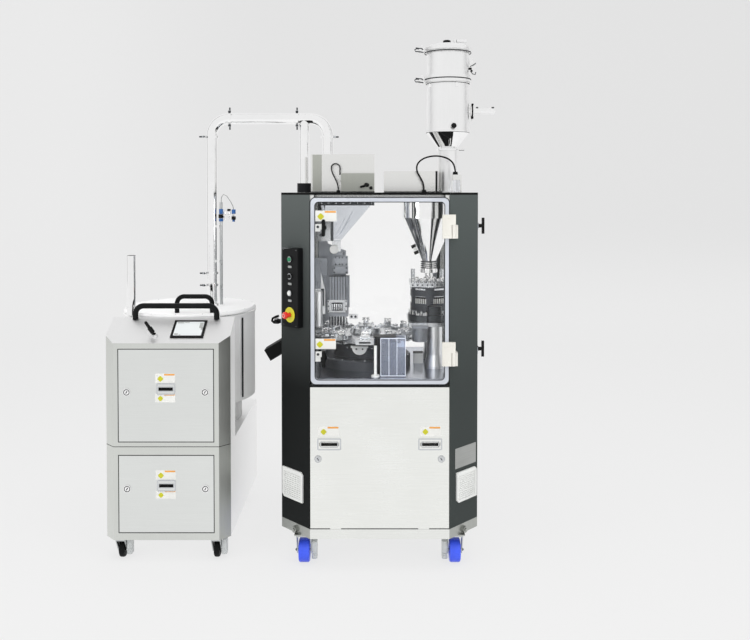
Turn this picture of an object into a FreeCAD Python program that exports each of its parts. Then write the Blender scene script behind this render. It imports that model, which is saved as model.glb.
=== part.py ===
import FreeCAD, Part
import math
import os
import Sketcher

# Capsule filling machine with its dust-collecting unit, in millimetres. +Z is up and the front faces -Y.
# The origin is on the floor, below the centre of the whole set. The machine's own pieces are drawn about
# its axis with y = 0 at its front doors, and the dust unit's pieces in the same way about its own axis.

SIZES = {
    # Where the two cabinets stand: each one's axis and front plane.
    "machine_x": 432.5, "machine_y": -528.5, "unit_x": -698.5, "unit_y": -423.5,
    # Machine cabinet.
    "body_width": 1050, "body_depth": 900, "corner_cut": 164, "skirt_bottom": 175, "skirt_top": 226,
    "deck_top": 1005, "deck_thick": 12, "roof_top": 1970, "roof_thick": 12, "skin": 12, "skirt_wall": 5,
    "tray_thick": 8, "post_side": 50, "post_x": 400, "post_y": 120, "rail_side": 40,
    # Doors and panels.
    "reveal": 2, "door_bottom": 978, "door_top": 1946, "door_band": 25, "door_thick": 20, "glass_thick": 8,
    "door_radius": 28, "side_sill": 1200, "panel_bottom": 231, "panel_top": 965, "panel_thick": 18,
    "jamb_wide": 22, "jamb_thick": 8, "jamb_gap": 2,
    # Hinges and latches.
    "leaf_high": 122, "leaf_thick": 22, "leaf_low": 1078, "leaf_high_z": 1735, "pin_radius": 5,
    "running_gap": 0.05, "latch_in": 72, "latch_low": 1120, "latch_high": 1790, "latch_long": 88,
    "latch_wide": 18, "latch_out": 44, "stem_radius": 8, "rosette_radius": 15,
    # Flush pull cups and quarter-turn locks.
    "pull_wide": 124, "pull_high": 65, "cup_wide": 112, "cup_high": 34, "cup_deep": 28, "slot_wide": 104,
    "slot_high": 18, "cup_wall": 3, "pull_x": 261, "pull_z": 670, "lock_x": 319, "lock_z": 593,
    "lock_radius": 15,
    # Control box on the left front corner.
    "box_wide": 125, "box_deep": 35, "box_bottom": 1267, "box_tall": 415, "button_radius": 11,
    "stop_radius": 18, "green_z": 1622, "black_z": 1533, "white_z": 1445, "estop_z": 1332,
    # Vent grilles.
    "vent_wide": 165, "vent_high": 158, "vent_z": 428, "vent_shift": 19, "vent_thick": 9, "vent_slats": 12,
    # Chamber: turret, dosing station, feeding station.
    "turret_x": -79, "turret_y": 440, "turret_radius": 300, "turret_bottom": 1150, "turret_thick": 30,
    "housing_radius": 180, "housing_top": 1140, "foot_radius": 255, "foot_top": 1060, "spindle_radius": 30,
    "segment_count": 12, "segment_long": 68, "segment_wide": 96, "segment_thick": 24,
    "dose_x": 280, "dose_y": 430, "dose_plate_z": 1236, "dose_plate_thick": 20, "disc_radius": 108,
    "disc_thick": 20, "column_radius": 42.5, "column_y": 300, "rod_radius": 12, "rod_spread": 84,
    "rod_back": 126, "motor_x": 220, "motor_y": 248, "motor_radius": 44, "motor_high": 76,
    "head_plate_z": 1444, "head_plate_thick": 23, "head_radius": 104, "head_bottom": 1310, "tamp_radius": 6,
    "tamp_count": 12, "tamp_bottom": 1281, "hopper_radius": 150, "hopper_wall": 2, "hopper_cone_top": 1828,
    "neck_radius": 39, "neck_top": 1582, "neck_bottom": 1519, "feed_radius": 22, "feed_bottom": 1290,
    "reject_x": 70, "reject_wide": 132, "reject_deep": 80, "reject_front": 62, "reject_high": 205,
    "reject_wall": 5, "magazine_x": -235, "magazine_y": 390, "magazine_wide": 92, "magazine_deep": 60,
    "magazine_bottom": 1300, "magazine_high": 200,
    "feeder_arm_top": 1560, "feeder_head_top": 1736, "post_near": 690,
    # Discharge chute through the left side.
    "chute_y": 330, "chute_wide": 100, "chute_high": 68, "chute_wall": 3, "chute_slope": 31,
    "chute_over": 123, "chute_out": 107,
    # Vacuum loader: its heights are measured up from the roof.
    "loader_x": 386, "loader_y": 430, "loader_radius": 120, "loader_wall": 2.5, "tube_radius": 54.5,
    "cone_bottom": 246, "cone_top": 335, "vessel_top": 616, "head_low": 656, "head_top": 794,
    "ring_out": 10, "lid_top": 840, "stub_radius": 18, "stub_near": 28, "stub_far": 146,
    # Roof boxes.
    "big_left": -387, "big_right": -28, "big_front": 430, "big_deep": 180, "big_high": 217,
    "small_wide": 185, "small_deep": 75, "small_high": 107, "right_left": 25, "right_wide": 286,
    "right_front": 340, "right_deep": 140, "right_high": 119, "filter_x": 423, "filter_y": 300,
    # Dust pipe.
    "pipe_radius": 33, "pipe_wall": 2, "bend_radius": 103, "pipe_over": 441, "pipe_y": 593, "riser_x": 131,
    "leg_x": -307, "branch_x": -447, "branch_radius": 30.5, "clamp_out": 10, "clamp_high": 14,
    # Castors of the machine and of the unit.
    "wheel_radius": 62.5, "wheel_wide": 62, "castor_x": 400, "castor_front": 100, "castor_rear": 800,
    "small_wheel_radius": 48, "small_wheel_wide": 34, "small_castor_x": 255, "small_castor_front": 62,
    "small_castor_rear": 900, "trail": 32,
    # Dust unit.
    "unit_width": 666, "unit_cut": 53, "unit_bottom": 124, "unit_deck": 623, "unit_depth": 996,
    "console_depth": 190, "console_front": 1174, "console_rise": 110, "unit_wall": 18, "unit_door_wide": 503,
    "upper_door_bottom": 650, "upper_door_top": 1141, "lower_door_bottom": 165, "lower_door_top": 576,
    "unit_door_thick": 17.7, "drum_radius": 380, "drum_wall": 4, "drum_bottom": 764, "drum_top": 1268,
    "skirt_radius": 300, "lid_thick": 24, "handle_radius": 15, "handle_span": 446, "handle_rise": 64,
    "handle_bend": 46, "handle_shift": 14, "screen_wide": 177, "screen_deep": 140, "vent_x": -249, "vent_top": 1620,
    "vent_pipe_radius": 26, "vent_end": 120,
}

DOC = FreeCAD.newDocument("capsule_filler")
V = FreeCAD.Vector
ROOT2 = math.sqrt(2.0)
CLEAR = 0.3


class Size:
    """A length that knows its number and the spreadsheet expression it comes from."""

    def __init__(self, value, text):
        self.value = float(value)
        self.text = text

    def __add__(self, other):
        other = sized(other)
        return Size(self.value + other.value, "(%s + %s)" % (self.text, other.text))

    def __sub__(self, other):
        other = sized(other)
        return Size(self.value - other.value, "(%s - %s)" % (self.text, other.text))

    def __mul__(self, other):
        other = sized(other)
        return Size(self.value * other.value, "%s * %s" % (self.text, other.text))

    def __truediv__(self, other):
        other = sized(other)
        return Size(self.value / other.value, "%s / %s" % (self.text, other.text))

    def __radd__(self, other):
        return sized(other) + self

    def __rsub__(self, other):
        return sized(other) - self

    def __rmul__(self, other):
        return sized(other) * self

    def __neg__(self):
        return Size(-self.value, "(0 - %s)" % self.text)


def sized(value):
    return value if isinstance(value, Size) else Size(value, "(%.6f)" % value)


class Sheet:
    """Holds the driving sizes in a spreadsheet and hands them out by name."""

    def __init__(self, sizes):
        self.sheet = DOC.addObject("Spreadsheet::Sheet", "Sizes")
        for row, (name, value) in enumerate(sizes.items(), start=1):
            cell = "A%d" % row
            self.sheet.set(cell, str(value))
            self.sheet.setAlias(cell, name)
            setattr(self, name, Size(value, "Sizes.%s" % name))


s = Sheet(SIZES)
NODES = []


def bind(thing, field, size):
    """Sets one property to a size, and ties it to the sheet when the size comes from there."""
    size = sized(size)
    if "Sizes." in size.text:
        thing.setExpression(field, size.text)
        return
    if field.startswith("Placement.Base."):
        place = thing.Placement
        setattr(place.Base, field[-1], size.value)
        thing.Placement = place
    else:
        setattr(thing, field, size.value)


def put(thing, x=0, y=0, z=0, turn=None):
    """Places a thing at a point, turned."""
    if turn is not None:
        thing.Placement = FreeCAD.Placement(V(), turn)
    for name, size in (("x", x), ("y", y), ("z", z)):
        bind(thing, "Placement.Base." + name, size)
    return thing


ALONG = {
    "Z": FreeCAD.Rotation(),
    "X": FreeCAD.Rotation(V(0, 1, 0), 90),
    "Y": FreeCAD.Rotation(V(1, 0, 0), -90),
}
# An outline's x and y run along these, and its thickness along the third.
# XY is drawn from above, XZ from the front and YZ from the side.
PLANES = {
    "XY": FreeCAD.Rotation(),
    "XZ": FreeCAD.Rotation(V(1, 0, 0), 90),
    "YZ": FreeCAD.Rotation(V(1, 1, 1), 120),
}


def about_z(degrees):
    return FreeCAD.Rotation(V(0, 0, 1), degrees)


def block(x, y, z):
    """A box between three pairs of bounds."""
    box = DOC.addObject("Part::Box", "Block")
    for field, (low, high) in zip(("Length", "Width", "Height"), (x, y, z)):
        bind(box, field, sized(high) - low)
    return put(box, x[0], y[0], z[0])


def rod(radius, x, y, z, length, along="Z"):
    """A round bar from a point along an axis."""
    bar = DOC.addObject("Part::Cylinder", "Rod")
    bind(bar, "Radius", radius)
    bind(bar, "Height", length)
    turn = ALONG[along] if isinstance(along, str) else along
    return put(bar, x, y, z, turn)


def cut(base, *tools):
    """The base with each tool taken away."""
    for tool in tools:
        left = DOC.addObject("Part::Cut", "Cut")
        left.Base = base
        left.Tool = tool
        base = left
    return base


def fuse(*pieces):
    joined = DOC.addObject("Part::MultiFuse", "Fuse")
    joined.Shapes = list(pieces)
    return joined


def common(first, second):
    shared = DOC.addObject("Part::Common", "Common")
    shared.Base = first
    shared.Tool = second
    return shared


def tube(radius, wall, x, y, z, length, along="Z"):
    """A round pipe from a point along an axis."""
    return cut(rod(radius, x, y, z, length, along), rod(sized(radius) - wall, x, y, z, length, along))


def axes_plane(body, role):
    return next(item for item in body.Origin.OriginFeatures if item.Role == role)


def outline(body, points, name="Outline"):
    """A closed sketch through points whose places are bound to the sheet."""
    sketch = body.newObject("Sketcher::SketchObject", name)
    sketch.AttachmentSupport = [(axes_plane(body, "XY_Plane"), "")]
    sketch.MapMode = "FlatFace"
    places = [(sized(x), sized(y)) for x, y in points]
    count = len(places)
    for index in range(count):
        first, second = places[index], places[(index + 1) % count]
        line = Part.LineSegment(V(first[0].value, first[1].value, 0), V(second[0].value, second[1].value, 0))
        sketch.addGeometry(line, False)
    for index in range(count):
        sketch.addConstraint(Sketcher.Constraint("Coincident", index, 2, (index + 1) % count, 1))
    for index, place in enumerate(places):
        for kind, size in zip(("DistanceX", "DistanceY"), place):
            number = sketch.addConstraint(Sketcher.Constraint(kind, -1, 1, index, 1, size.value))
            if "Sizes." in size.text:
                sketch.setExpression("Constraints[%d]" % number, size.text)
    return sketch


def prism(points, low, high, plane="XY", at=(0, 0, 0)):
    """A padded outline: its thickness runs from low to high along the third axis of its plane."""
    body = DOC.addObject("PartDesign::Body", "Prism")
    pad = body.newObject("PartDesign::Pad", "Pad")
    pad.Profile = outline(body, points)
    bind(pad, "Length", sized(high) - low)
    x, y, z = (sized(value) for value in at)
    if plane == "XY":
        return put(body, x, y, z + low, PLANES[plane])
    if plane == "XZ":
        return put(body, x, y + high, z, PLANES[plane])
    return put(body, x + low, y, z, PLANES[plane])


def turned(profile, x=0, y=0, z=0, along="Z"):
    """A revolved outline of (radius, height) points about an axis from a point."""
    body = DOC.addObject("PartDesign::Body", "Turned")
    sketch = outline(body, profile, "Profile")
    spin = body.newObject("PartDesign::Revolution", "Revolution")
    spin.Profile = sketch
    spin.ReferenceAxis = (sketch, ["V_Axis"])
    spin.Angle = 360
    upright = FreeCAD.Rotation(V(1, 0, 0), 90)
    turn = ALONG[along] if isinstance(along, str) else along
    return put(body, x, y, z, turn.multiply(upright))


def ring(radius, wall, x, y, z, high, along="Z"):
    """A plain collar of rectangular section."""
    outer = sized(radius)
    inner = outer - wall
    return turned([(inner, 0), (outer, 0), (outer, high), (inner, high)], x, y, z, along)


def disc(radius, x, y, z, high, along="Z", edge=1.0):
    """A solid disc with a small chamfer round its outer edge."""
    outer = sized(radius)
    high = sized(high)
    profile = [(0, 0), (outer, 0), (outer, high - edge), (outer - edge, high), (0, high)]
    return turned(profile, x, y, z, along)


def rounded(x, z, y, radius):
    """An upright plate with round corners, between bounds in x and z, and in y from front to back."""
    body = prism([(x[0], z[0]), (x[1], z[0]), (x[1], z[1]), (x[0], z[1])], y[0], y[1], "XZ")
    DOC.recompute()
    pad = body.Tip
    corners = []
    for number, edge in enumerate(pad.Shape.Edges, start=1):
        ends = [point.Point for point in edge.Vertexes]
        if abs(ends[0].x - ends[1].x) < 1e-6 and abs(ends[0].y - ends[1].y) < 1e-6:
            corners.append("Edge%d" % number)
    fillet = body.newObject("PartDesign::Fillet", "Corners")
    fillet.Base = (pad, corners)
    bind(fillet, "Radius", radius)
    body.Tip = fillet
    return body


def machine_place():
    return (s.machine_x, s.machine_y, 0), about_z(0)


def unit_place():
    return (s.unit_x, s.unit_y, 0), about_z(0)


def side_place(side):
    """A side door is drawn like the front one and stood on the flat side, facing out."""
    flat_x = s.machine_x + side * (s.body_width / 2)
    return (flat_x, s.machine_y + s.body_depth / 2, 0), about_z(90 * side)


def node(label, pieces, place=None):
    """One sub-part of the set: its pieces together, in the place of the cabinet that it belongs to."""
    whole = DOC.addObject("Part::Compound", label)
    whole.Label = label
    whole.Links = list(pieces)
    (x, y, z), turn = place or machine_place()
    put(whole, x, y, z, turn)
    NODES.append(whole)
    return whole


# ---------------------------------------------------------------- machine cabinet

def flat_half():
    return s.body_width / 2 - s.corner_cut


def side_half():
    return s.body_depth / 2 - s.corner_cut


def octagon(inset=0.0):
    """The cabinet's plan, drawn in from its outer face by an inset."""
    near = sized(inset)
    half = s.body_width / 2 - near
    far = s.body_depth - near
    cut_in = s.corner_cut - near * (2 - ROOT2)
    return [(-half, near + cut_in), (cut_in - half, near), (half - cut_in, near), (half, near + cut_in),
            (half, far - cut_in), (half - cut_in, far), (cut_in - half, far), (-half, far - cut_in)]


def castor_plate(x, y, top, side, thick, hole):
    """A mounting plate with the swivel's bore in its middle."""
    plate = block((x - side / 2, x + side / 2), (y - side / 2, y + side / 2), (top - thick, top))
    return cut(plate, rod(hole, x, y, top - thick, thick))


def fixed_fork(x, y, top, radius, wide, axle):
    """A rigid castor's bracket: a top plate, two cheeks and the axle between them."""
    thick = 5
    plate = block((x - wide / 2 - 14, x + wide / 2 + 14), (y - 45, y + 45), (top - thick, top))
    pieces = [plate]
    for side in (-1, 1):
        low = x + side * (wide / 2 + 4) - (thick if side < 0 else 0)
        cheek = [(y - 40, top - thick), (y + 40, top - thick), (y + 16, radius - 16), (y - 16, radius - 16)]
        pieces.append(prism(cheek, low, low + thick, "YZ"))
    pieces.append(rod(axle, x - wide / 2 - 4, y, radius, wide + 8, "X"))
    return pieces


AXLE = 8
KING_PIN = 10
CASTOR_PLATE = 96
PLATE_THICK = 6
SMALL_AXLE = 6


def base_frame():
    """Stainless skirt, floor tray, castor plates, rear castor brackets and jacking lugs."""
    skirt = cut(prism(octagon(), s.skirt_bottom, s.skirt_top),
                prism(octagon(s.skirt_wall), s.skirt_bottom - 1, s.skirt_top + 1))
    tray = prism(octagon(s.skirt_wall), s.skirt_bottom, s.skirt_bottom + s.tray_thick)
    pieces = [skirt, tray]
    for side in (-1, 1):
        x = side * s.castor_x
        y = s.castor_front
        pieces.append(castor_plate(x, y, s.skirt_bottom, CASTOR_PLATE, PLATE_THICK, KING_PIN + s.running_gap))
        pieces += fixed_fork(x, s.castor_rear, s.skirt_bottom, s.wheel_radius, s.wheel_wide, AXLE)
        pieces += jacking_lug(side)
    node("base_frame", pieces)


def jacking_lug(side):
    """A round lug at the foot of a front corner, with its bolt head."""
    turn = about_z(45 * side).multiply(ALONG["Y"]).multiply(FreeCAD.Rotation(V(1, 0, 0), 180))
    mid_x = side * (s.body_width / 2 - s.corner_cut / 2)
    lug = disc(17, mid_x, s.corner_cut / 2, s.skirt_bottom + 20, 16, turn)
    reach = 16 / ROOT2
    bolt = disc(9, mid_x + side * reach, s.corner_cut / 2 - reach, s.skirt_bottom + 20, 6, turn)
    return [lug, bolt]


def main_frame():
    """Welded frame: four posts, deck rails, roof rails and the jambs that the doors close on."""
    half = s.post_side / 2
    low = s.skirt_bottom + s.tray_thick
    high = s.roof_top - s.roof_thick
    deck_low = s.deck_top - s.deck_thick
    front = s.post_y
    rear = s.body_depth - s.post_y
    pieces = []
    for x in (-s.post_x, s.post_x):
        for y in (front, rear):
            pieces.append(block((x - half, x + half), (y - half, y + half), (low, deck_low)))
            pieces.append(block((x - half, x + half), (y - half, y + half), (s.deck_top, high)))
    for y in (front, rear):
        pieces.append(block((half - s.post_x, s.post_x - half), (y - half, y - half + s.rail_side),
                            (deck_low - s.rail_side, deck_low)))
        pieces.append(block((half - s.post_x, s.post_x - half), (y - half, y - half + s.rail_side),
                            (high - s.rail_side, high)))
    for x in (-s.post_x, s.post_x):
        pieces.append(block((x - s.rail_side / 2, x + s.rail_side / 2), (front + half, rear - half),
                            (deck_low - s.rail_side, deck_low)))
    inner = flat_half() - s.door_band + 4
    behind = s.door_thick + s.jamb_gap
    for side in (-1, 1):
        outer = inner + s.jamb_wide
        low_x, high_x = (inner, outer) if side > 0 else (-outer, -inner)
        pieces.append(block((low_x, high_x), (behind, behind + s.jamb_thick), (s.deck_top, high)))
    node("main_frame", pieces)


def deck_plate():
    """Dark steel table of the chamber, with the turret's bore."""
    plate = prism(octagon(s.door_thick + s.jamb_gap), s.deck_top - s.deck_thick, s.deck_top)
    bore = rod(s.spindle_radius + 4, s.turret_x, s.turret_y, s.deck_top - s.deck_thick, s.deck_thick)
    node("deck_plate", [cut(plate, bore)])


def roof_plate():
    """Roof with the powder inlet and the two dust openings."""
    low = s.roof_top - s.roof_thick
    plate = prism(octagon(), low, s.roof_top)
    inlet = rod(s.tube_radius - 6, s.dose_x, s.dose_y, low, s.roof_thick)
    pipe_back = s.unit_y + s.pipe_y - s.machine_y
    legs = [rod(s.pipe_radius - s.pipe_wall, s.leg_x, pipe_back, low, s.roof_thick),
            rod(s.branch_radius - s.pipe_wall, s.branch_x, pipe_back, low, s.roof_thick)]
    node("roof_plate", [cut(plate, inlet, *legs)])


def corner_panels():
    """Four painted corner panels at 45 degrees."""
    depth_in = s.skin * ROOT2
    half = s.body_width / 2
    flat = flat_half()
    pieces = []
    for side in (-1, 1):
        for front in (True, False):
            def back(value):
                return sized(value) if front else s.body_depth - value
            points = [(side * half, back(s.corner_cut)), (side * flat, back(0)),
                      (side * flat, back(depth_in)), (side * (half - depth_in), back(s.corner_cut))]
            pieces.append(prism(points, s.skirt_top, s.roof_top - s.roof_thick))
    node("corner_panels", pieces)


def lower_cladding():
    """Fixed stainless panels below the chamber, both sides and back, and the sill under the left door."""
    pieces = []
    for side in (-1, 1):
        outer = s.body_width / 2
        low_x, high_x = (outer - s.panel_thick, outer) if side > 0 else (-outer, s.panel_thick - outer)
        y = (s.corner_cut + s.reveal, s.body_depth - s.corner_cut - s.reveal)
        pieces.append(block((low_x, high_x), y, (s.skirt_top, s.panel_top)))
    wide = flat_half() - s.reveal
    pieces.append(block((-wide, wide), (s.body_depth - s.panel_thick, s.body_depth),
                        (s.skirt_top, s.panel_top)))
    pieces.append(side_sill())
    node("lower_cladding", pieces)


def chute_frame():
    """The chute's centre on the cabinet's left face."""
    return -s.body_width / 2, s.chute_y, s.deck_top + s.chute_over


def chute_turn():
    """Points the chute out of the left side and down."""
    return FreeCAD.Rotation(V(0, 1, 0), -(90 + SIZES["chute_slope"]))


def chute_box(grow):
    """The chute's outer shape, grown all round, long enough to pass through the sill."""
    long_in = 60
    across = s.chute_high / 2 + grow
    wide = s.chute_wide / 2 + grow
    body = prism([(-across, -wide), (across, -wide), (across, wide), (-across, wide)], 0, s.chute_out + long_in)
    turn = chute_turn()
    start = turn.multVec(V(0, 0, -long_in))
    x, y, z = chute_frame()
    return put(body, x + start.x, y, z + start.z, turn)


def side_sill():
    """The fixed panel below the left door, with the chute's port."""
    y = (s.corner_cut, s.body_depth - s.corner_cut)
    sill = block((-s.body_width / 2, s.panel_thick - s.body_width / 2), y, (s.door_bottom, s.side_sill))
    return cut(sill, chute_box(CLEAR))


def discharge_chute():
    """Black chute that lets the finished capsules out of the left side."""
    node("discharge_chute", [cut(chute_box(0), chute_box(-SIZES["chute_wall"]))])


def rear_window():
    """Fixed glazed frame behind the chamber."""
    half = flat_half()
    back = s.body_depth
    frame = cut(rounded((-half, half), (s.door_bottom, s.door_top), (back - s.door_thick, back), s.door_radius),
                rounded((s.door_band - half, half - s.door_band),
                        (s.door_bottom + s.door_band, s.door_top - s.door_band),
                        (back - s.door_thick - 1, back + 1), s.door_radius - 6))
    pane = rounded((s.door_band - half, half - s.door_band),
                   (s.door_bottom + s.door_band, s.door_top - s.door_band),
                   (back - s.glass_thick - 2, back - 2), s.door_radius - 6)
    node("rear_window", [frame, pane])


def corner_spot(side, along, out):
    """A point on a front corner's face: along it from its middle, and out from it."""
    mid_x = s.body_width / 2 - s.corner_cut / 2
    mid_y = s.corner_cut / 2
    x = side * (mid_x + (sized(along) * side + out) / ROOT2)
    y = mid_y + (sized(along) * side - out) / ROOT2
    return x, y


def vent_grille(side):
    """A white louvred grille on a front corner: a plate with a row of slots between its slats."""
    body = DOC.addObject("PartDesign::Body", "Grille")
    wide, high = s.vent_wide / 2, s.vent_high / 2
    cut_off = 14
    pad = body.newObject("PartDesign::Pad", "Plate")
    pad.Profile = outline(body, [(cut_off - wide, -high), (wide, -high), (wide, high - cut_off),
                                 (wide - cut_off, high), (-wide, high), (-wide, cut_off - high)])
    bind(pad, "Length", s.vent_thick)
    margin = 14
    pitch = (s.vent_high - 2 * margin) / s.vent_slats
    slot = body.newObject("PartDesign::Pocket", "Slot")
    slot.Profile = outline(body, [(margin - wide, margin - high), (wide - margin, margin - high),
                                  (wide - margin, margin - high + pitch / 2),
                                  (margin - wide, margin - high + pitch / 2)], "SlotOutline")
    bind(slot, "Length", s.vent_thick)
    slot.Reversed = True
    row = body.newObject("PartDesign::LinearPattern", "Slots")
    row.Originals = [slot]
    row.Direction = (slot.Profile[0], ["V_Axis"])
    bind(row, "Length", pitch * (s.vent_slats - 1))
    row.Occurrences = SIZES["vent_slats"]
    body.Tip = row
    turn = about_z(45 * side).multiply(FreeCAD.Rotation(V(1, 0, 0), 90))
    x, y = corner_spot(side, side * s.vent_shift, 0)
    return put(body, x, y, s.vent_z, turn)


def vent_grilles():
    node("vent_grilles", [vent_grille(-1), vent_grille(1)])


def box_turn():
    return about_z(-45)


def face_piece(wide, high, out, deep, along, z, radius=3):
    """A small rounded plate standing on the left front corner, out from its face."""
    plate = rounded((-wide / 2, wide / 2), (-high / 2, high / 2), (0, deep), radius)
    plate.Placement.Rotation = box_turn().multiply(PLANES["XZ"])
    back_x, back_y = corner_spot(-1, along, out)
    return put(plate, back_x, back_y, z)


BORE_DEEP = 20
STOP_STEM = 11


def control_box():
    """Black box with its lid screws, four legend plates and the yellow disc of the stop button."""
    case = face_piece(s.box_wide, s.box_tall, 0, SIZES["box_deep"], 0, s.box_bottom + s.box_tall / 2, 6)
    face_x, face_y = corner_spot(-1, 0, s.box_deep)
    floor_x, floor_y = corner_spot(-1, 0, s.box_deep - BORE_DEEP)
    out = box_turn().multiply(FreeCAD.Rotation(V(1, 0, 0), 90))
    bores = [rod(s.button_radius + s.running_gap, floor_x, floor_y, z, BORE_DEEP, out)
             for z in (s.green_z, s.black_z, s.white_z)]
    stop_bore = rod(STOP_STEM + s.running_gap, floor_x, floor_y, s.estop_z, BORE_DEEP + 5, out)
    pieces = [cut(case, stop_bore, *bores)]
    for z in (s.green_z, s.black_z, s.white_z):
        pieces.append(face_piece(sized(34), sized(16), SIZES["box_deep"], 1.5, 0, z - 39))
        pieces.append(ring(s.button_radius + 5, 5 - s.running_gap, face_x, face_y, z, 5, out))
    pieces.append(cut(disc(40, face_x, face_y, s.estop_z, 2, out, 0.5), stop_bore))
    inset = 11
    for side in (-1, 1):
        for z in (s.box_bottom + inset, s.box_bottom + s.box_tall - inset):
            x, y = corner_spot(-1, side * (s.box_wide / 2 - inset), s.box_deep)
            pieces.append(disc(4.5, x, y, z, 2, out, 0.5))
    node("control_box", pieces)


def buttons():
    """Push buttons on the box, each with its cap, and the red mushroom."""
    out = box_turn().multiply(FreeCAD.Rotation(V(1, 0, 0), 90))
    for name, z in (("start_button", s.green_z), ("stop_button", s.black_z), ("jog_button", s.white_z)):
        x, y = corner_spot(-1, 0, s.box_deep - 8)
        node(name, [disc(s.button_radius, x, y, z, 20, out, 2)])
    x, y = corner_spot(-1, 0, s.box_deep)
    profile = [(0, -8), (STOP_STEM, -8), (STOP_STEM, 22), (s.stop_radius, 26), (s.stop_radius, 38), (14, 44),
               (0, 45)]
    node("estop_button", [turned(profile, x, y, s.estop_z, out)])


# ---------------------------------------------------------------- doors, hinges and latches

PIVOT_CLEAR = 10


def hinge_x(half):
    """The pin's place: the barrel clears the door's edge plate, however thick the leaves are."""
    return half + PIVOT_CLEAR + s.leaf_thick / 2


def hinge_y():
    return -s.leaf_thick / 2


def pane_with_frame(half, low, high):
    """A door's white frame and its glass."""
    band = s.door_band
    frame = cut(rounded((-half, half), (low, high), (0, s.door_thick), s.door_radius),
                rounded((band - half, half - band), (low + band, high - band), (-1, s.door_thick + 1),
                        s.door_radius - 6))
    pane = rounded((band - half, half - band), (low + band, high - band), (2, 2 + s.glass_thick),
                   s.door_radius - 6)
    return [frame, pane]


def door_leaf(half, z, side):
    """The door's hinge leaf: a plate on the door and a knuckle that turns about the pin."""
    def across(low, high):
        return (half + low, half + high) if side > 0 else (-half - high, -half - low)
    front = (-s.leaf_thick, 0)
    upper = z + s.leaf_high * 0.56 + CLEAR
    edge = PIVOT_CLEAR - 1
    plate = block(across(-38, edge), front, (z, z + s.leaf_high))
    knuckle = block(across(edge, edge + PIVOT_CLEAR + s.leaf_thick / 2), front, (upper, z + s.leaf_high))
    bore = rod(s.pin_radius + s.running_gap, side * hinge_x(half), hinge_y(), upper, s.leaf_high)
    return [plate, cut(knuckle, bore)]


def frame_leaf(half, z, side):
    """The cabinet's hinge leaf: a barrel round the pin's axis, and an arm back to the sloping corner."""
    flat = half + s.reveal
    pivot = hinge_x(half)
    outer = flat + 40
    inner = pivot - 6
    arm = [(side * inner, hinge_y()), (side * outer, hinge_y() - 3), (side * outer, outer - flat),
           (side * inner, inner - flat)]
    barrel_high = s.leaf_high * 0.56
    barrel = rod(s.leaf_thick / 2, side * pivot, hinge_y(), z, barrel_high)
    leaf = fuse(barrel, prism(arm, z, z + barrel_high))
    pin = rod(s.pin_radius, side * pivot, hinge_y(), z + barrel_high, s.leaf_high * 0.4)
    return [leaf, pin]


def latch_spot(half, side):
    return side * (half - s.latch_in)


def rosette(half, z, side):
    """The black disc round a latch's stem and the strike plate beside it."""
    x = latch_spot(half, side)
    back = 2
    face = disc(s.rosette_radius, x, back, z, 6, FreeCAD.Rotation(V(1, 0, 0), 90), 1)
    across = (x + 18, x + 44) if side > 0 else (x - 44, x - 18)
    strike = block(across, (-6, back), (z - 20, z + 14))
    return [face, strike]


def front_door():
    half = flat_half() - s.reveal
    pieces = pane_with_frame(half, s.door_bottom, s.door_top)
    for z in (s.leaf_low, s.leaf_high_z):
        pieces += door_leaf(half, z, 1)
    for z in (s.latch_low, s.latch_high):
        pieces += rosette(half, z, -1)
    node("front_door", pieces)


def side_doors():
    """The right door is full height. The left one starts above the chute's sill and opens the other way."""
    half = side_half() - s.reveal
    right = pane_with_frame(half, s.door_bottom, s.door_top)
    left = pane_with_frame(half, s.side_sill + s.reveal, s.door_top)
    for z in (s.leaf_low, s.leaf_high_z):
        right += door_leaf(half, z, 1)
    for z in (s.side_sill + 60, s.leaf_high_z):
        left += door_leaf(half, z, -1)
    for z in (s.latch_low, s.latch_high):
        right += rosette(half, z, -1)
    left += rosette(half, left_latch_z(), 1)
    node("right_door", right, side_place(1))
    node("left_door", left, side_place(-1))


def left_latch_z():
    return s.side_sill + 75


def hinge_leaves():
    """All the cabinet-side leaves and pins: two for each door."""
    pieces = []
    front = flat_half() - s.reveal
    for z in (s.leaf_low, s.leaf_high_z):
        pieces += frame_leaf(front, z, 1)
    half = side_half() - s.reveal
    groups = [(1, 1, (s.leaf_low, s.leaf_high_z)), (-1, -1, (s.side_sill + 60, s.leaf_high_z))]
    for side, hand, heights in groups:
        for z in heights:
            for piece in frame_leaf(half, z, hand):
                holder = DOC.addObject("Part::Compound", "SideLeaf")
                holder.Links = [piece]
                flat_x = side * (s.body_width / 2)
                pieces.append(put(holder, flat_x, s.body_depth / 2, 0, about_z(90 * side)))
    node("hinge_leaves", pieces)


def latch(label, half, z, side, place, wide, high):
    """A T-latch: a stem out of the rosette and an oval grip across it."""
    x = latch_spot(half, side)
    front = -s.latch_out
    grip_deep = 14
    grip = rounded((x - wide / 2, x + wide / 2), (z - high / 2, z + high / 2), (front, front + grip_deep),
                   s.latch_wide / 2 - 0.5)
    start = front + grip_deep
    stem = rod(s.stem_radius, x, start, z, -4 - CLEAR - start, "Y")
    node(label, [grip, stem], place)


def latches():
    front = flat_half() - s.reveal
    side = side_half() - s.reveal
    upright = (s.latch_wide, s.latch_long)
    latch("front_latch_upper", front, s.latch_high, -1, machine_place(), *upright)
    latch("front_latch_lower", front, s.latch_low, -1, machine_place(), *upright)
    latch("right_latch_upper", side, s.latch_high, -1, side_place(1), *upright)
    latch("right_latch_lower", side, s.latch_low, -1, side_place(1), *upright)
    latch("left_latch", side, left_latch_z(), 1, side_place(-1), s.latch_long, s.latch_wide)


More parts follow.
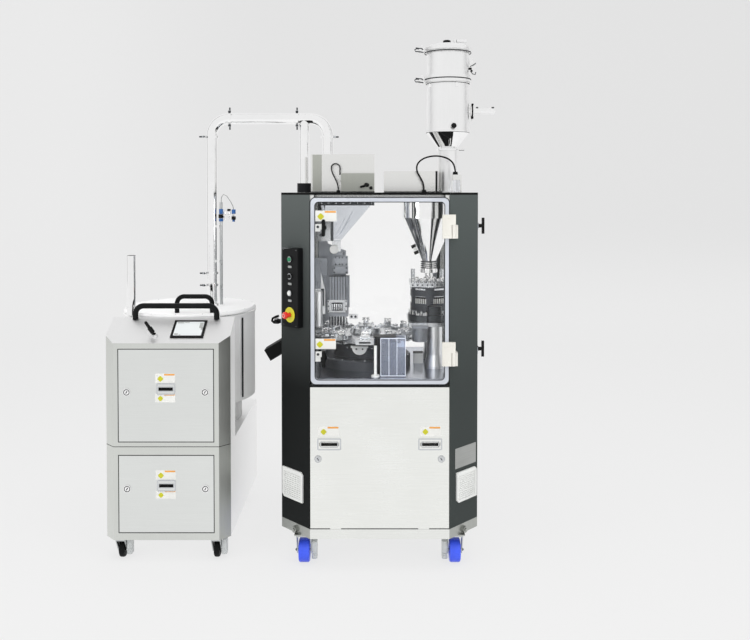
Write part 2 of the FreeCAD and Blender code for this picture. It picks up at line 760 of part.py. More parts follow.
def pull_cup(x, z, scale=1.0):
    """A flush pull: a bezel and a cup behind it with a slot for the fingers."""
    wide, high = s.pull_wide * scale / 2, s.pull_high * scale / 2
    cup_x, cup_z = s.cup_wide * scale / 2, s.cup_high / 2
    slot_x, slot_z = s.slot_wide * scale / 2, s.slot_high / 2
    bezel = block((x - wide, x + wide), (-s.cup_wall, 0), (z - high, z + high))
    cup = block((x - cup_x, x + cup_x), (0, s.cup_deep), (z - cup_z, z + cup_z))
    slot = block((x - slot_x, x + slot_x), (-s.cup_wall, s.cup_deep - s.cup_wall), (z - slot_z, z + slot_z))
    return cut(fuse(bezel, cup), slot)


def cup_hole(x, z, deep, scale=1.0):
    """The panel's cut-out for a pull's cup."""
    cup_x, cup_z = s.cup_wide * scale / 2 + CLEAR, s.cup_high / 2 + CLEAR
    return block((x - cup_x, x + cup_x), (0, deep), (z - cup_z, z + cup_z))


def lock(x, z):
    """A quarter-turn lock: its collar and the core inside."""
    facing = FreeCAD.Rotation(V(1, 0, 0), 90)
    collar = ring(s.lock_radius, 6, x, 0, z, 4, facing)
    core = disc(s.lock_radius - 6 - CLEAR, x, 0, z, 2.5, facing, 0.5)
    return [collar, core]


def lower_panel():
    """Lift-off front panel with two pulls, two locks and two bottom tabs."""
    half = flat_half() - s.reveal
    sheet = block((-half, half), (0, s.panel_thick), (s.panel_bottom, s.panel_top))
    cups = [cup_hole(side * s.pull_x, s.pull_z, s.panel_thick) for side in (-1, 1)]
    pieces = [cut(sheet, *cups)]
    for side in (-1, 1):
        pieces.append(pull_cup(side * s.pull_x, s.pull_z))
        pieces += lock(side * s.lock_x, s.lock_z)
        x = side * 228
        pieces.append(block((x - 28, x + 28), (1, 9), (s.skirt_top + CLEAR, s.panel_bottom)))
    node("lower_panel", pieces)


# ---------------------------------------------------------------- working chamber

def drive_unit():
    """Indexing gearbox and dosing gearbox under the deck, their link shaft and the main motor."""
    top = s.deck_top - s.deck_thick
    index_half, dose_half = sized(150), sized(90)
    motor_long = 190
    index_box = block((s.turret_x - index_half, s.turret_x + index_half),
                      (s.turret_y - index_half, s.turret_y + index_half), (top - 270, top))
    dose_box = block((s.dose_x - dose_half, s.dose_x + dose_half), (s.dose_y - dose_half, s.dose_y + dose_half),
                     (top - 180, top))
    shaft = rod(18, s.turret_x + index_half, s.turret_y, top - 100,
                s.dose_x - s.turret_x - index_half - dose_half, "X")
    motor = rod(70, s.turret_x, s.turret_y + index_half, top - index_half, motor_long, "Y")
    fan_cover = rod(74, s.turret_x, s.turret_y + index_half + motor_long, top - index_half, 40, "Y")
    node("drive_unit", [index_box, dose_box, shaft, motor, fan_cover])


def turret_housing():
    """Bearing housing of the turret on the deck, with the white guard on its front and two sensor posts."""
    bore = s.spindle_radius + s.running_gap
    profile = [(bore, s.deck_top), (s.foot_radius, s.deck_top), (s.foot_radius, s.foot_top - 6),
               (s.foot_radius - 6, s.foot_top), (s.housing_radius, s.foot_top),
               (s.housing_radius, s.housing_top - 8), (s.housing_radius - 8, s.housing_top),
               (bore, s.housing_top)]
    housing = turned(profile, s.turret_x, s.turret_y)
    front = s.turret_y - s.housing_radius
    guard_x = s.turret_x - 30
    guard_top = s.housing_top - 14
    guard_radius = sized(41)
    guard = common(rod(guard_radius, guard_x, front - 22, guard_top, 20, "Y"),
                   block((guard_x - guard_radius, guard_x + guard_radius), (front - 22, front - 2),
                         (guard_top - 56, guard_top)))
    stalk = cut(block((guard_x - 12, guard_x + 12), (front - 2, front + 6), (guard_top - 30, guard_top - 6)),
                rod(s.housing_radius + CLEAR, s.turret_x, s.turret_y, s.foot_top, 100))
    holder = block((guard_x - 48, guard_x + 48), (front - 34, front - 2), (guard_top, guard_top + 8))
    white_post = turned([(0, 0), (22, 0), (22, 6), (8, 10), (8, 161), (0, 161)], -22, 80, s.deck_top)
    dark_post = rod(11, -15, 128, s.deck_top, 200)
    white_block = block((193, 247), (400, 450), (s.deck_top, s.deck_top + 57))
    node("turret_housing", [housing, guard, stalk, holder, white_post, dark_post, white_block])


def turret():
    """Indexing turret: spindle, dark plate, hub and a ring of capsule segments with their clips."""
    low, high = s.turret_bottom, s.turret_bottom + s.turret_thick
    plate_radius = s.turret_radius - s.segment_long
    profile = [(0, s.deck_top - s.deck_thick + CLEAR), (s.spindle_radius, s.deck_top - s.deck_thick + CLEAR),
               (s.spindle_radius, low), (plate_radius, low), (plate_radius, high), (90, high), (80, high + 24),
               (0, high + 24)]
    pieces = [turned(profile, s.turret_x, s.turret_y)]
    for index in range(SIZES["segment_count"]):
        angle = 360.0 / SIZES["segment_count"] * index
        pieces += segment(angle, low, high, plate_radius)
    node("turret", pieces)


def segment(angle, low, high, inner):
    """One capsule segment: an arm bolted on the plate, its block with a row of bores, and a clip."""
    turn = about_z(angle)
    half = s.segment_wide / 2
    arm = block((inner - 46, inner + 2), (-26, 26), (high, high + 10))
    plate = block((inner, s.turret_radius), (-half, half), (low + 8, low + 8 + s.segment_thick))
    bores = [rod(4.2, inner + s.segment_long * 0.62, offset, low, 60) for offset in (-33, -11, 11, 33)]
    clip = block((inner + 8, s.turret_radius - 30), (-15, 15), (low + 8 + s.segment_thick, high + 22))
    pieces = []
    seated_arm = cut(arm, block((inner, inner + 4), (-30, 30), (high - 2, high + 12)))
    for piece in (seated_arm, cut(plate, *bores), clip):
        holder = DOC.addObject("Part::Compound", "Segment")
        holder.Links = [piece]
        pieces.append(put(holder, s.turret_x, s.turret_y, 0, turn))
    return pieces


PLATE_EDGE = 22
PITCH_RADIUS = 86


def dosing_frame():
    """Two flared columns, the dosing plate, its powder bowl and the two guide rods."""
    plate_low = s.dose_plate_z
    plate_high = plate_low + s.dose_plate_thick
    x, y = s.dose_x, s.dose_y
    pieces = []
    column_x = x + 23
    for column_y in (s.column_y, 2 * y - s.column_y):
        radius = s.column_radius
        profile = [(0, 0), (radius * 1.3, 0), (radius * 1.3, 14), (radius * 1.22, 30), (radius, 74),
                   (radius, plate_low - s.deck_top), (0, plate_low - s.deck_top)]
        pieces.append(turned(profile, column_x, column_y, s.deck_top))
    half_y = y - s.column_y + 42
    half_x = s.disc_radius + 10
    plate = block((x - half_x, x + half_x), (y - half_y, y + half_y), (plate_low, plate_high))
    pieces.append(cut(plate, rod(spindle_bore(), x, y, plate_low, s.dose_plate_thick)))
    bowl = s.disc_radius + 4
    pieces.append(turned([(bowl, plate_high), (bowl + 6, plate_high), (bowl + 6, plate_high + 30),
                          (bowl, plate_high + 30)], x, y))
    for side in (-1, 1):
        pieces.append(rod(s.rod_radius, x + side * s.rod_spread, y + s.rod_back, plate_high, 270))
    tongue_y = (s.motor_y - s.motor_radius, y - half_y)
    pieces.append(block((s.motor_x - s.motor_radius, s.motor_x + s.motor_radius), tongue_y,
                        (plate_low, plate_low + 12)))
    pieces.append(ribbed_motor(plate_low - s.motor_high))
    node("dosing_frame", pieces)


def ribbed_motor(low):
    """The disc's small drive motor hung under the plate's tongue, with cooling ribs round it."""
    ribs = 8
    pitch = s.motor_high / ribs
    core = s.motor_radius - 5
    profile = [(0, low)]
    for index in range(ribs):
        foot = low + pitch * index
        profile += [(core, foot), (core, foot + pitch * 0.5), (s.motor_radius, foot + pitch * 0.5),
                    (s.motor_radius, foot + pitch)]
    profile.append((0, low + s.motor_high))
    return turned(profile, s.motor_x, s.motor_y)


def spindle_bore():
    return 20 + s.running_gap


def dosing_disc():
    """Dosing disc with its ring of pockets, on a spindle through the dosing plate, and its gear."""
    low = s.dose_plate_z + s.dose_plate_thick + CLEAR
    profile = [(0, low - 110), (20, low - 110), (20, low), (s.disc_radius, low),
               (s.disc_radius, low + s.disc_thick), (0, low + s.disc_thick)]
    disc_body = turned(profile, s.dose_x, s.dose_y)
    pockets = []
    for index in range(SIZES["tamp_count"]):
        angle = 2 * math.pi * index / SIZES["tamp_count"]
        pockets.append(rod(s.tamp_radius, s.dose_x + PITCH_RADIUS * math.cos(angle),
                           s.dose_y + PITCH_RADIUS * math.sin(angle), low + 4, s.disc_thick))
    gear = ring(52, 52 - 20, s.dose_x, s.dose_y, low - 108, 24)
    node("dosing_disc", [cut(disc_body, *pockets), gear])


def tamping_head():
    """Crosshead on the guide rods, the dark pin block under it with its windows, and the tamping pins."""
    x, y = s.dose_x, s.dose_y
    low, high = s.head_plate_z, s.head_plate_z + s.head_plate_thick
    half_x = s.rod_spread + PLATE_EDGE
    back = y + s.rod_back
    plate = block((x - half_x, x + half_x), (y - 90, back + PLATE_EDGE), (low, high))
    holes = [rod(s.rod_radius + s.running_gap, x + side * s.rod_spread, back, low, s.head_plate_thick)
             for side in (-1, 1)]
    feed = rod(s.feed_radius + 8, x, y, low, s.head_plate_thick)
    inner = s.feed_radius + 8
    holder = turned([(inner, s.head_bottom), (s.head_radius, s.head_bottom), (s.head_radius, low),
                     (inner, low)], x, y)
    windows = []
    for index in range(6):
        window = block((s.head_radius - 26, s.head_radius + 2), (-30, 30),
                       (s.head_bottom + 40, s.head_bottom + 78))
        stand = DOC.addObject("Part::Compound", "Window")
        stand.Links = [window]
        windows.append(put(stand, x, y, 0, about_z(60 * index)))
    head = [cut(plate, feed, *holes), cut(holder, *windows)]
    for index in range(SIZES["tamp_count"]):
        angle = 2 * math.pi * index / SIZES["tamp_count"]
        pin_x, pin_y = x + PITCH_RADIUS * math.cos(angle), y + PITCH_RADIUS * math.sin(angle)
        head.append(rod(s.tamp_radius - 1, pin_x, pin_y, s.tamp_bottom, s.head_bottom - s.tamp_bottom))
    for index in range(6):
        angle = math.radians(60 * index + 30)
        head.append(rod(7, x + 60 * math.cos(angle), y + 60 * math.sin(angle), high, 9))
    node("tamping_head", [fuse(*head)])


def powder_hopper():
    """Polished powder hopper hung under the roof: cylinder, cone, neck, flange and feed tube."""
    wall = s.hopper_wall
    top = s.roof_top - s.roof_thick
    radius, neck, feed = s.hopper_radius, s.neck_radius, s.feed_radius
    flange = s.neck_bottom + 21
    cylinder = [(radius, top), (radius + 10, top), (radius + 10, top - 6), (radius + wall, top - 6),
                (radius + wall, s.hopper_cone_top), (radius, s.hopper_cone_top)]
    cone = [(radius, s.hopper_cone_top), (radius + wall, s.hopper_cone_top), (neck + wall, s.neck_top),
            (neck, s.neck_top)]
    throat = [(neck, s.neck_top), (neck + wall, s.neck_top), (neck + wall, flange), (neck + 11, flange),
              (neck + 11, s.neck_bottom), (feed, s.neck_bottom), (feed, s.feed_bottom),
              (feed - wall, s.feed_bottom), (feed - wall, flange), (neck, flange + 4)]
    node("powder_hopper", [turned(profile, s.dose_x, s.dose_y) for profile in (cylinder, cone, throat)])


def capsule_hopper():
    """Clear capsule hopper under the roof: four sloping walls down to a narrow mouth."""
    cover_thick, hanger_high = 8, 30
    wall = 3
    top = s.roof_top - s.roof_thick - cover_thick - hanger_high
    low = s.feeder_head_top - 36
    mouth_half = sized(23)
    x = s.magazine_x - 5
    left, right = x - 92, x + 212
    near, far = s.magazine_y - 30, s.magazine_y + 130
    flow = [(left, top), (right, top), (x + mouth_half, low), (x - mouth_half, low)]
    inner = [(left + wall, top + 1), (right - wall * 2, top + 1), (x + mouth_half - wall, low - 1),
             (x - mouth_half + wall, low - 1)]
    shell = cut(prism(flow, near, far, "XZ"), prism(inner, near + wall, far - wall, "XZ"))
    cover = block((left, right), (near, far), (top, top + cover_thick))
    hangers = [block((hanger_x, hanger_x + 20), (near + 60, near + 100),
                     (top + cover_thick, s.roof_top - s.roof_thick)) for hanger_x in (left + 40, right - 60)]
    node("capsule_hopper", [shell, cover] + hangers)


def capsule_feeder():
    """Cast feeder on its column behind the turret: arms, drive box, magazine guide and the mouth's collar."""
    x, y = s.magazine_x, s.magazine_y
    rear = y + s.magazine_deep / 2
    left = x - 110
    plate_rear = rear + 30
    arm_top = s.feeder_arm_top
    arm_low = arm_top - 60
    head_top = s.feeder_head_top
    collar_low = head_top - 96
    collar_x = (x - 28, x + 18)
    post_y = (s.post_near, s.post_near + 70)
    column = block((left, left + 70), post_y, (s.deck_top, arm_top))
    arm = block((left, x + 45), (plate_rear, post_y[0]), (arm_low, arm_top))
    head = prism([(left, arm_low), (left, head_top), (left + 33, head_top), (left + 55, head_top - 56),
                  (x + 45, collar_low), (x + 45, arm_low)], rear + 6, plate_rear, "XZ")
    guide = block((left, x + 66), (rear + CLEAR, plate_rear), (s.magazine_bottom + 20, arm_low))
    collar = block(collar_x, (y - 30, y + 30), (collar_low, head_top - 36))
    collar_arm = block(collar_x, (y + 30, rear + 6), (collar_low, head_top - 46))
    chute = block((x - 30, x + 30), (y - 26, y + 26), (s.magazine_bottom + s.magazine_high + 45, collar_low))
    drive_y = (y - 80, y - 35)
    drive_box = block((left - 20, x - 35), drive_y, (head_top - 34, head_top + 79))
    drive_bar = block((left, left + 25), (drive_y[1], rear + 6), (head_top - 34, head_top - 11))
    cheek_low = s.magazine_bottom
    cheek = prism([(left - 20, cheek_low), (left - 20, cheek_low + 300), (left + 15, cheek_low + 260),
                   (left + 45, cheek_low + 130), (left + 45, cheek_low)], y - 90, y - 70, "XZ")
    cheek_bar = block((left, left + 35), (y - 70, rear + CLEAR), (cheek_low + 40, cheek_low + 100))
    comb_low = s.magazine_bottom - CLEAR - 24
    comb_high = s.magazine_bottom - 3
    comb_pitch, tooth = 16, 7
    comb = []
    for step in range(6):
        tooth_x = x - 40 + step * comb_pitch
        comb.append(block((tooth_x, tooth_x + tooth), (y - 20, y + 20), (comb_low - 58, comb_low)))
    comb_head = block((x - 46, x + 60), (y - 24, plate_rear), (comb_low, comb_high))
    comb_stem = block((x - 46, x + 60), (rear + CLEAR, plate_rear), (comb_high, s.magazine_bottom + 20))
    node("capsule_feeder", [column, arm, head, guide, collar, collar_arm, chute, drive_box, drive_bar, cheek,
                            cheek_bar, comb_head, comb_stem] + comb)


def capsule_magazine():
    """Ribbed magazine that lifts and drops to let the capsules down, with its clamp block."""
    x, y = s.magazine_x, s.magazine_y
    half_x, half_y = s.magazine_wide / 2, s.magazine_deep / 2
    low = s.magazine_bottom + CLEAR
    high = s.magazine_bottom + s.magazine_high
    ribs = 6
    pitch = s.magazine_wide / ribs
    pieces = [block((x - half_x, x + half_x), (y - half_y + 12, y + half_y), (low + 70, high))]
    for index in range(ribs):
        left = x - half_x + pitch * index
        pieces.append(block((left + 2, left + pitch - 2), (y - half_y, y - half_y + 12), (low + 70, high)))
    pieces.append(block((x - half_x - 8, x + half_x + 8), (y - half_y - 6, y + half_y), (low, low + 70)))
    facing = FreeCAD.Rotation(V(1, 0, 0), 90)
    for side in (-1, 1):
        for z in (low + 16, low + 54):
            pieces.append(disc(6, x + side * (half_x - 6), y - half_y - 6, z, 5, facing, 1))
    node("capsule_magazine", pieces)


def reject_box():
    """Clear box for rejected capsules: floor, four walls and a divider, standing on the deck."""
    x = (s.reject_x - s.reject_wide / 2, s.reject_x + s.reject_wide / 2)
    y = (s.reject_front, s.reject_front + s.reject_deep)
    low, high = s.deck_top + CLEAR, s.deck_top + s.reject_high
    wall = s.reject_wall
    floor = block(x, y, (low, low + wall))
    front = block(x, (y[0], y[0] + wall), (low + wall, high))
    rear = block(x, (y[1] - wall, y[1]), (low + wall, high))
    inside = (y[0] + wall, y[1] - wall)
    sides = [block((x[0], x[0] + wall), inside, (low + wall, high)),
             block((x[1] - wall, x[1]), inside, (low + wall, high))]
    middle = s.reject_x - 8
    divider = block((middle - 2, middle + 2), inside, (low + wall, high))
    node("reject_box", [floor, front, rear, divider] + sides)


# ---------------------------------------------------------------- roof

LOADER_GLAND_X = 245
BOX_GLAND_X = -230
BOX_GLAND_Y = 378


def above_roof(height):
    return s.roof_top + height


def loader_vessel():
    """Vacuum loader's lower half: discharge tube, clamp, cone, vessel, sight port and inlet stub."""
    wall = s.loader_wall
    radius, neck = s.loader_radius, sized(50)
    x, y = s.loader_x, s.loader_y
    cone_low, cone_high, rim = above_roof(s.cone_bottom), above_roof(s.cone_top), above_roof(s.vessel_top)
    cone = turned([(neck - wall, cone_low), (neck, cone_low), (radius, cone_high), (radius - wall, cone_high)],
                  x, y)
    shell = ring(radius, wall, x, y, cone_high, rim - cone_high)
    stand = tube(s.tube_radius, s.loader_wall, x, y, s.roof_top, s.cone_bottom - 8)
    clamp = turned([(neck - wall, 0), (s.tube_radius + 9, 0), (s.tube_radius + 9, 8), (neck - wall, 8)],
                   x, y, cone_low - 8)
    foot = turned([(s.tube_radius + CLEAR / 3, 0), (s.tube_radius + 16, 0), (s.tube_radius + 16, 8),
                   (s.tube_radius + CLEAR / 3, 8)], x, y, s.roof_top)
    wing = rod(5, x + s.tube_radius + 9, y, cone_low - 4, 30, "X")
    facing = FreeCAD.Rotation(V(1, 0, 0), 90)
    port_z = cone_high + 32
    port = turned([(0, 0), (20, 0), (20, 14), (16, 18), (0, 18)], x + 22, y - radius * 0.98, port_z, facing)
    port = cut(port, rod(radius, x, y, cone_high, 80))
    stub_z = cone_high + 124
    hose_end, root = s.stub_radius, s.stub_radius + 0.5
    near, far = radius + s.stub_near, radius + s.stub_far
    stub = cut(turned([(hose_end - 2, 0), (root, 0), (root, near), (hose_end, near), (hose_end, far),
                       (hose_end - 2, far)], x, y, stub_z, "X"),
               rod(radius, x, y, cone_high + 60, 140))
    stub_clamp = ring(32, 32 - root - CLEAR / 3, x + near - 20, y, stub_z, 18, "X")
    wing_nut = rod(5, x + near - 11, y, stub_z - 32 - 26, 26)
    lower_ring = ring(radius + 4, 4 - CLEAR / 3, x, y, cone_high + 2, 8)
    node("loader_vessel", [shell, cone, stand, clamp, foot, wing, port, stub, stub_clamp, wing_nut, lower_ring])


def loader_head():
    """Loader's upper half: two clamp rings with toggles, head, lid ring, domed lid, cap and air elbow."""
    radius = s.loader_radius
    x, y = s.loader_x, s.loader_y
    out = s.ring_out
    rim, head_foot, head_rim = above_roof(s.vessel_top), above_roof(s.head_low), above_roof(s.head_top)
    crown = above_roof(s.lid_top)
    middle = (rim + head_foot) / 2
    half_ring = (s.head_low - s.vessel_top) / 2
    lower = ring(radius + out, out + s.loader_wall, x, y, rim, half_ring - 1)
    upper = ring(radius + out, out + s.loader_wall, x, y, middle + 1, half_ring - 1)
    seal = ring(radius + out - 4, out, x, y, middle - 1, 2)
    head = ring(radius, s.loader_wall, x, y, head_foot, s.head_top - s.head_low)
    lid_ring = ring(radius + out, out + s.loader_wall, x, y, head_rim, 17)
    lid = turned([(0, head_rim + 17), (radius + 4, head_rim + 17), (radius - 20, crown - 12),
                  (radius - 60, crown - 4), (0, crown - 4)], x, y)
    cap = disc(20, x - 8, y - 30, crown - 4, 16, "Z", 3)
    elbow = rod(9, x + 40, y, crown - 4, 26)
    spout = rod(9, x + 40 + 9, y, crown + 13, 56, "X")
    pieces = [lower, upper, seal, head, lid_ring, lid, cap, elbow, spout]
    for z, reach, angle in ((head_rim - 2, radius + out, 180), (middle - 14, radius + out, 180),
                            (head_rim - 80, radius, -8)):
        pieces += toggle(x, y, z, reach, angle)
    node("loader_head", pieces)


def toggle(x, y, z, reach, angle):
    """A bow toggle on the side of a clamp ring: its foot, its bow and its lever."""
    foot = block((reach + 0.2, reach + 12), (-11, 11), (z, z + 26))
    bow = block((reach + 12, reach + 20), (-7, 7), (z + 2, z + 40))
    lever = block((reach + 20, reach + 36), (-9, 9), (z - 14, z + 10))
    pieces = []
    for piece in (foot, bow, lever):
        holder = DOC.addObject("Part::Compound", "Toggle")
        holder.Links = [piece]
        pieces.append(put(holder, x, y, 0, about_z(angle)))
    return pieces


def roof_boxes():
    """Three boxes on the roof, the air filter with its bowl, and the cables' glands."""
    top = s.roof_top
    small_left = s.big_right - s.small_wide
    small_front = s.big_front - s.small_deep - 15
    big = block((s.big_left, s.big_right), (s.big_front, s.big_front + s.big_deep), (top, top + s.big_high))
    small = block((small_left, s.big_right), (small_front, s.big_front - 15), (top, top + s.small_high))
    right = block((s.right_left, s.right_left + s.right_wide), (s.right_front, s.right_front + s.right_deep),
                  (top, top + s.right_high))
    bowl = turned([(0, 0), (14, 0), (20, 8), (20, 66), (0, 66)], s.filter_x, s.filter_y, top + 2)
    filter_top = top + 98
    filter_head = block((s.filter_x - 23, s.filter_x + 23), (s.filter_y - 22, s.filter_y + 22),
                        (top + 68, filter_top))
    knob = turned([(0, 0), (15, 0), (13, 16), (0, 16)], s.filter_x - 6, s.filter_y, filter_top)
    bracket = block((s.filter_x + 23, s.filter_x + 27), (s.filter_y - 14, s.filter_y + 14), (top, filter_top))
    gland = turned([(0, 0), (9, 0), (9, 7), (7, 14), (0, 14)], LOADER_GLAND_X, s.filter_y, top)
    small_gland = turned([(0, 0), (7, 0), (7, 6), (5.5, 12), (0, 12)], BOX_GLAND_X, BOX_GLAND_Y, top)
    socket = block((small_left - 16, small_left), (small_front + 25, small_front + 51), (top + 66, top + 98))
    node("roof_boxes", [big, small, right, bowl, filter_head, knob, bracket, gland, small_gland, socket])


# ---------------------------------------------------------------- cords

def cord_path(points):
    """Straight runs joined by tangent arcs, each as large as its two runs allow."""
    points = [V(*point) for point in points]
    edges = []
    radii = []
    start = points[0]
    for before, corner, after in zip(points, points[1:], points[2:]):
        arriving = (corner - before).normalize()
        leaving = (after - corner).normalize()
        half_turn = arriving.getAngle(leaving) / 2
        reach = 0.45 * min((corner - before).Length, (after - corner).Length)
        radius = reach / math.tan(half_turn)
        first = corner - arriving * reach
        last = corner + leaving * reach
        to_centre = (leaving - arriving).normalize()
        centre = corner + to_centre * (radius / math.cos(half_turn))
        middle = centre - to_centre * radius
        edges.append(Part.LineSegment(start, first).toShape())
        edges.append(Part.Arc(first, middle, last).toShape())
        radii.append(radius)
        start = last
    edges.append(Part.LineSegment(start, points[-1]).toShape())
    return Part.Wire(edges), radii


def cord(label, radius, points):
    """A cable's tube along its path, checked against its section times its length."""
    wire, radii = cord_path(points)
    direction = V(*points[1]) - V(*points[0])
    section = Part.Wire(Part.Circle(V(*points[0]), direction, radius).toShape())
    shape = wire.makePipeShell([section], True, False)
    volume = math.pi * radius ** 2 * wire.Length
    print("%s: length %.0f mm, radii %s, volume %.3f of its section times length" % (
        label, wire.Length, " ".join("%.0f" % value for value in radii), shape.Volume / volume))
    feature = DOC.addObject("Part::Feature", label)
    feature.Label = label
    feature.Shape = shape
    put(feature, s.machine_x, s.machine_y, 0)
    NODES.append(feature)


def cords():
    """The loader's sensor cable and the small box's cable, each a short loop between two glands."""
    top = s.roof_top.value
    loader = [(0, 14.4), (-1, 44), (-19, 82), (-41, 118), (-39, 158), (-5, 188), (47, 202), (101, 199),
              (145, 180), (169, 148), (172, 114.2)]
    cord("loader_cable", 4.5, [(LOADER_GLAND_X + x, SIZES["filter_y"], top + z) for x, z in loader])
    small = [(0, 12.4), (-1, 40), (-16, 76), (-36, 113), (-41, 150.4), (-16, 164.9), (10, 150.4), (9, 123),
             (9, 98)]
    cord("box_cable", 3.25, [(BOX_GLAND_X + x, BOX_GLAND_Y, top + z) for x, z in small])


# ---------------------------------------------------------------- dust pipe

def elbow(radius, wall, bend, x, y, z, turn):
    """A quarter bend, hollow."""
    halves = []
    for size in (sized(radius), sized(radius) - wall):
        torus = DOC.addObject("Part::Torus", "Bend")
        bind(torus, "Radius1", bend)
        bind(torus, "Radius2", size)
        torus.Angle3 = 90
        halves.append(put(torus, x, y, z, turn))
    return cut(*halves)


def clamp_ring(x, y, z, along="Z", radius=None):
    """A pipe clamp: a collar round the joint with its wing nut's stub."""
    inner = sized(radius or s.pipe_radius)
    return ring(inner + s.clamp_out, s.clamp_out - CLEAR / 3, x, y, z, s.clamp_high, along)


def dust_pipe():
    """Rigid dust pipe from the drum's lid to the roof, its tee branch, the vent pipe and the air line."""
    y = s.pipe_y
    wall, radius, bend = s.pipe_wall, s.pipe_radius, s.bend_radius
    lid = s.drum_top + s.lid_thick
    across = s.machine_x - s.unit_x
    leg = across + s.leg_x
    branch = across + s.branch_x
    high_run = above_roof(s.pipe_over)
    straight = high_run - bend
    riser = tube(radius, wall, s.riser_x, y, lid, straight - lid)
    run = tube(radius, wall, s.riser_x + bend, y, high_run, leg - s.riser_x - 2 * bend, "X")
    down = tube(radius, wall, leg, y, s.roof_top, straight - s.roof_top)
    upright = FreeCAD.Rotation(V(1, 0, 0), 90)
    left_bend = elbow(radius, wall, bend, s.riser_x + bend, y, straight,
                      upright.multiply(FreeCAD.Rotation(V(0, 0, 1), 90)))
    right_bend = elbow(radius, wall, bend, leg - bend, y, straight, upright)
    tee = cut(tube(s.branch_radius, wall, branch, y, s.roof_top + 50, s.pipe_over - 50),
              rod(radius + CLEAR / 3, branch - 60, y, high_run, 120, "X"))
    collar = cut(turned([(0, 0), (41, 0), (41, 46), (37, 50), (0, 50)], branch, y, s.roof_top),
                 rod(s.branch_radius - wall, branch, y, s.roof_top, 50))
    pieces = [riser, run, down, left_bend, right_bend, tee, collar]
    high = s.clamp_high
    for z in (lid, lid + 118, lid + 190, straight - high):
        pieces.append(clamp_ring(s.riser_x, y, z))
    for x in (s.riser_x + bend, branch - s.branch_radius - high - 4):
        pieces.append(clamp_ring(x, y, high_run, "X"))
    for z in (s.roof_top, straight - high):
        pieces.append(clamp_ring(leg, y, z))
    node("dust_pipe", pieces + air_line(), unit_place())


def air_line():
    """Compressed-air line beside the riser with its manifold and three flow valves, and the vent pipe."""
    lid = s.drum_top + s.lid_thick
    x = s.riser_x + 58
    y = s.pipe_y - 30
    line = rod(9, x, y, lid, 620)
    foot = ring(20, 11 - CLEAR / 3, x, y, lid, 12)
    manifold_z = lid + 543
    manifold = rod(6, x + 9 + CLEAR / 3, y, manifold_z, 72, "X")
    valves = []
    for step, high in ((23, 30), (47, 34), (75, 26)):
        profile = [(0, 0), (9, 0), (9, 16), (6, 18), (6, high), (0, high)]
        body = turned(profile, x + step, y, manifold_z + 6)
        tail = rod(4, x + step, y, manifold_z - 26, 20)
        valves += [body, tail]
    clips = [block((s.riser_x + s.pipe_radius + CLEAR / 3, x - 9 - CLEAR / 3), (y - 6, y + 30), (z, z + 14))
             for z in (lid + 260, lid + 470)]
    pieces = [line, foot, manifold] + valves + clips
    vent_y = s.console_depth + s.vent_pipe_radius + 22
    outer, bore = s.vent_pipe_radius, s.vent_pipe_radius - 2
    hose_end = s.vent_top - s.vent_end
    pieces.append(turned([(bore, s.unit_deck), (outer, s.unit_deck), (outer, hose_end), (outer - 0.5, hose_end),
                          (outer - 0.5, s.vent_top), (bore, s.vent_top)], s.vent_x, vent_y))
    pieces.append(ring(s.vent_pipe_radius + 9, 9 - CLEAR / 3, s.vent_x, vent_y, s.unit_deck, 12))
    pieces.append(ring(s.vent_pipe_radius + 7, 7 - CLEAR / 3, s.vent_x, vent_y, s.vent_top - 300, 14))
    return pieces


# ---------------------------------------------------------------- dust unit

def unit_plan(depth, inset=0.0):
    """The unit's plan with its two front corners cut off."""
    half = s.unit_width / 2 - inset
    near = sized(inset)
    return [(-half, near + s.unit_cut), (s.unit_cut - half, near), (half - s.unit_cut, near),
            (half, near + s.unit_cut), (half, depth - inset), (-half, depth - inset)]


def aperture(low, high, deep):
    """The opening that a lift-off door fills."""
    half = s.unit_door_wide / 2 + s.reveal
    return block((-half, half), (-1, deep), (low - s.reveal, high + s.reveal))


def door_stops(low, high, reach):
    """Two strips behind a lift-off door's sides, which it rests against."""
    half = s.unit_door_wide / 2
    strips = []
    for side in (-1, 1):
        bounds = (half - 10, half + reach) if side > 0 else (-half - reach, 10 - half)
        strips.append(block(bounds, (s.unit_wall, s.unit_wall + 6), (low, high)))
    return strips


def aux_base():
    """Lower cabinet with the blower and filter inside, castor plates and rear castor brackets."""
    outer = prism(unit_plan(s.unit_depth), s.unit_bottom, s.unit_deck)
    inner = prism(unit_plan(s.unit_depth, SIZES["unit_wall"]), s.unit_bottom + s.unit_wall,
                  s.unit_deck - s.unit_wall)
    shell = cut(outer, inner, aperture(s.lower_door_bottom, s.lower_door_top, s.unit_wall + 1))
    floor = s.unit_bottom + s.unit_wall
    blower_radius, blower_y = sized(150), s.unit_depth - 376
    blower = rod(blower_radius, -160, blower_y, floor + blower_radius + 2, 240, "X")
    feet = block((-140, 60), (blower_y - 80, blower_y + 80), (floor, floor + 30))
    feet_space = block((-141, 61), (blower_y - 81, blower_y + 81), (floor - 1, floor + 30))
    filter_case = rod(95, 190, 330, floor, 300)
    pieces = [shell, cut(blower, feet_space), feet, filter_case]
    pieces += door_stops(s.lower_door_bottom, s.lower_door_top, 8)
    for side in (-1, 1):
        x = side * s.small_castor_x
        pieces.append(castor_plate(x, s.small_castor_front, s.unit_bottom, 76, PLATE_THICK,
                                   KING_PIN + s.running_gap))
        pieces += fixed_fork(x, s.small_castor_rear, s.unit_bottom, s.small_wheel_radius, s.small_wheel_wide,
                             SMALL_AXLE)
    node("aux_base", pieces, unit_place())


SWITCH_SPOT = (-72, 60)
LEVER_PIVOT = 8
LEVER_PIN = 2
LEVER_LEAN = 22


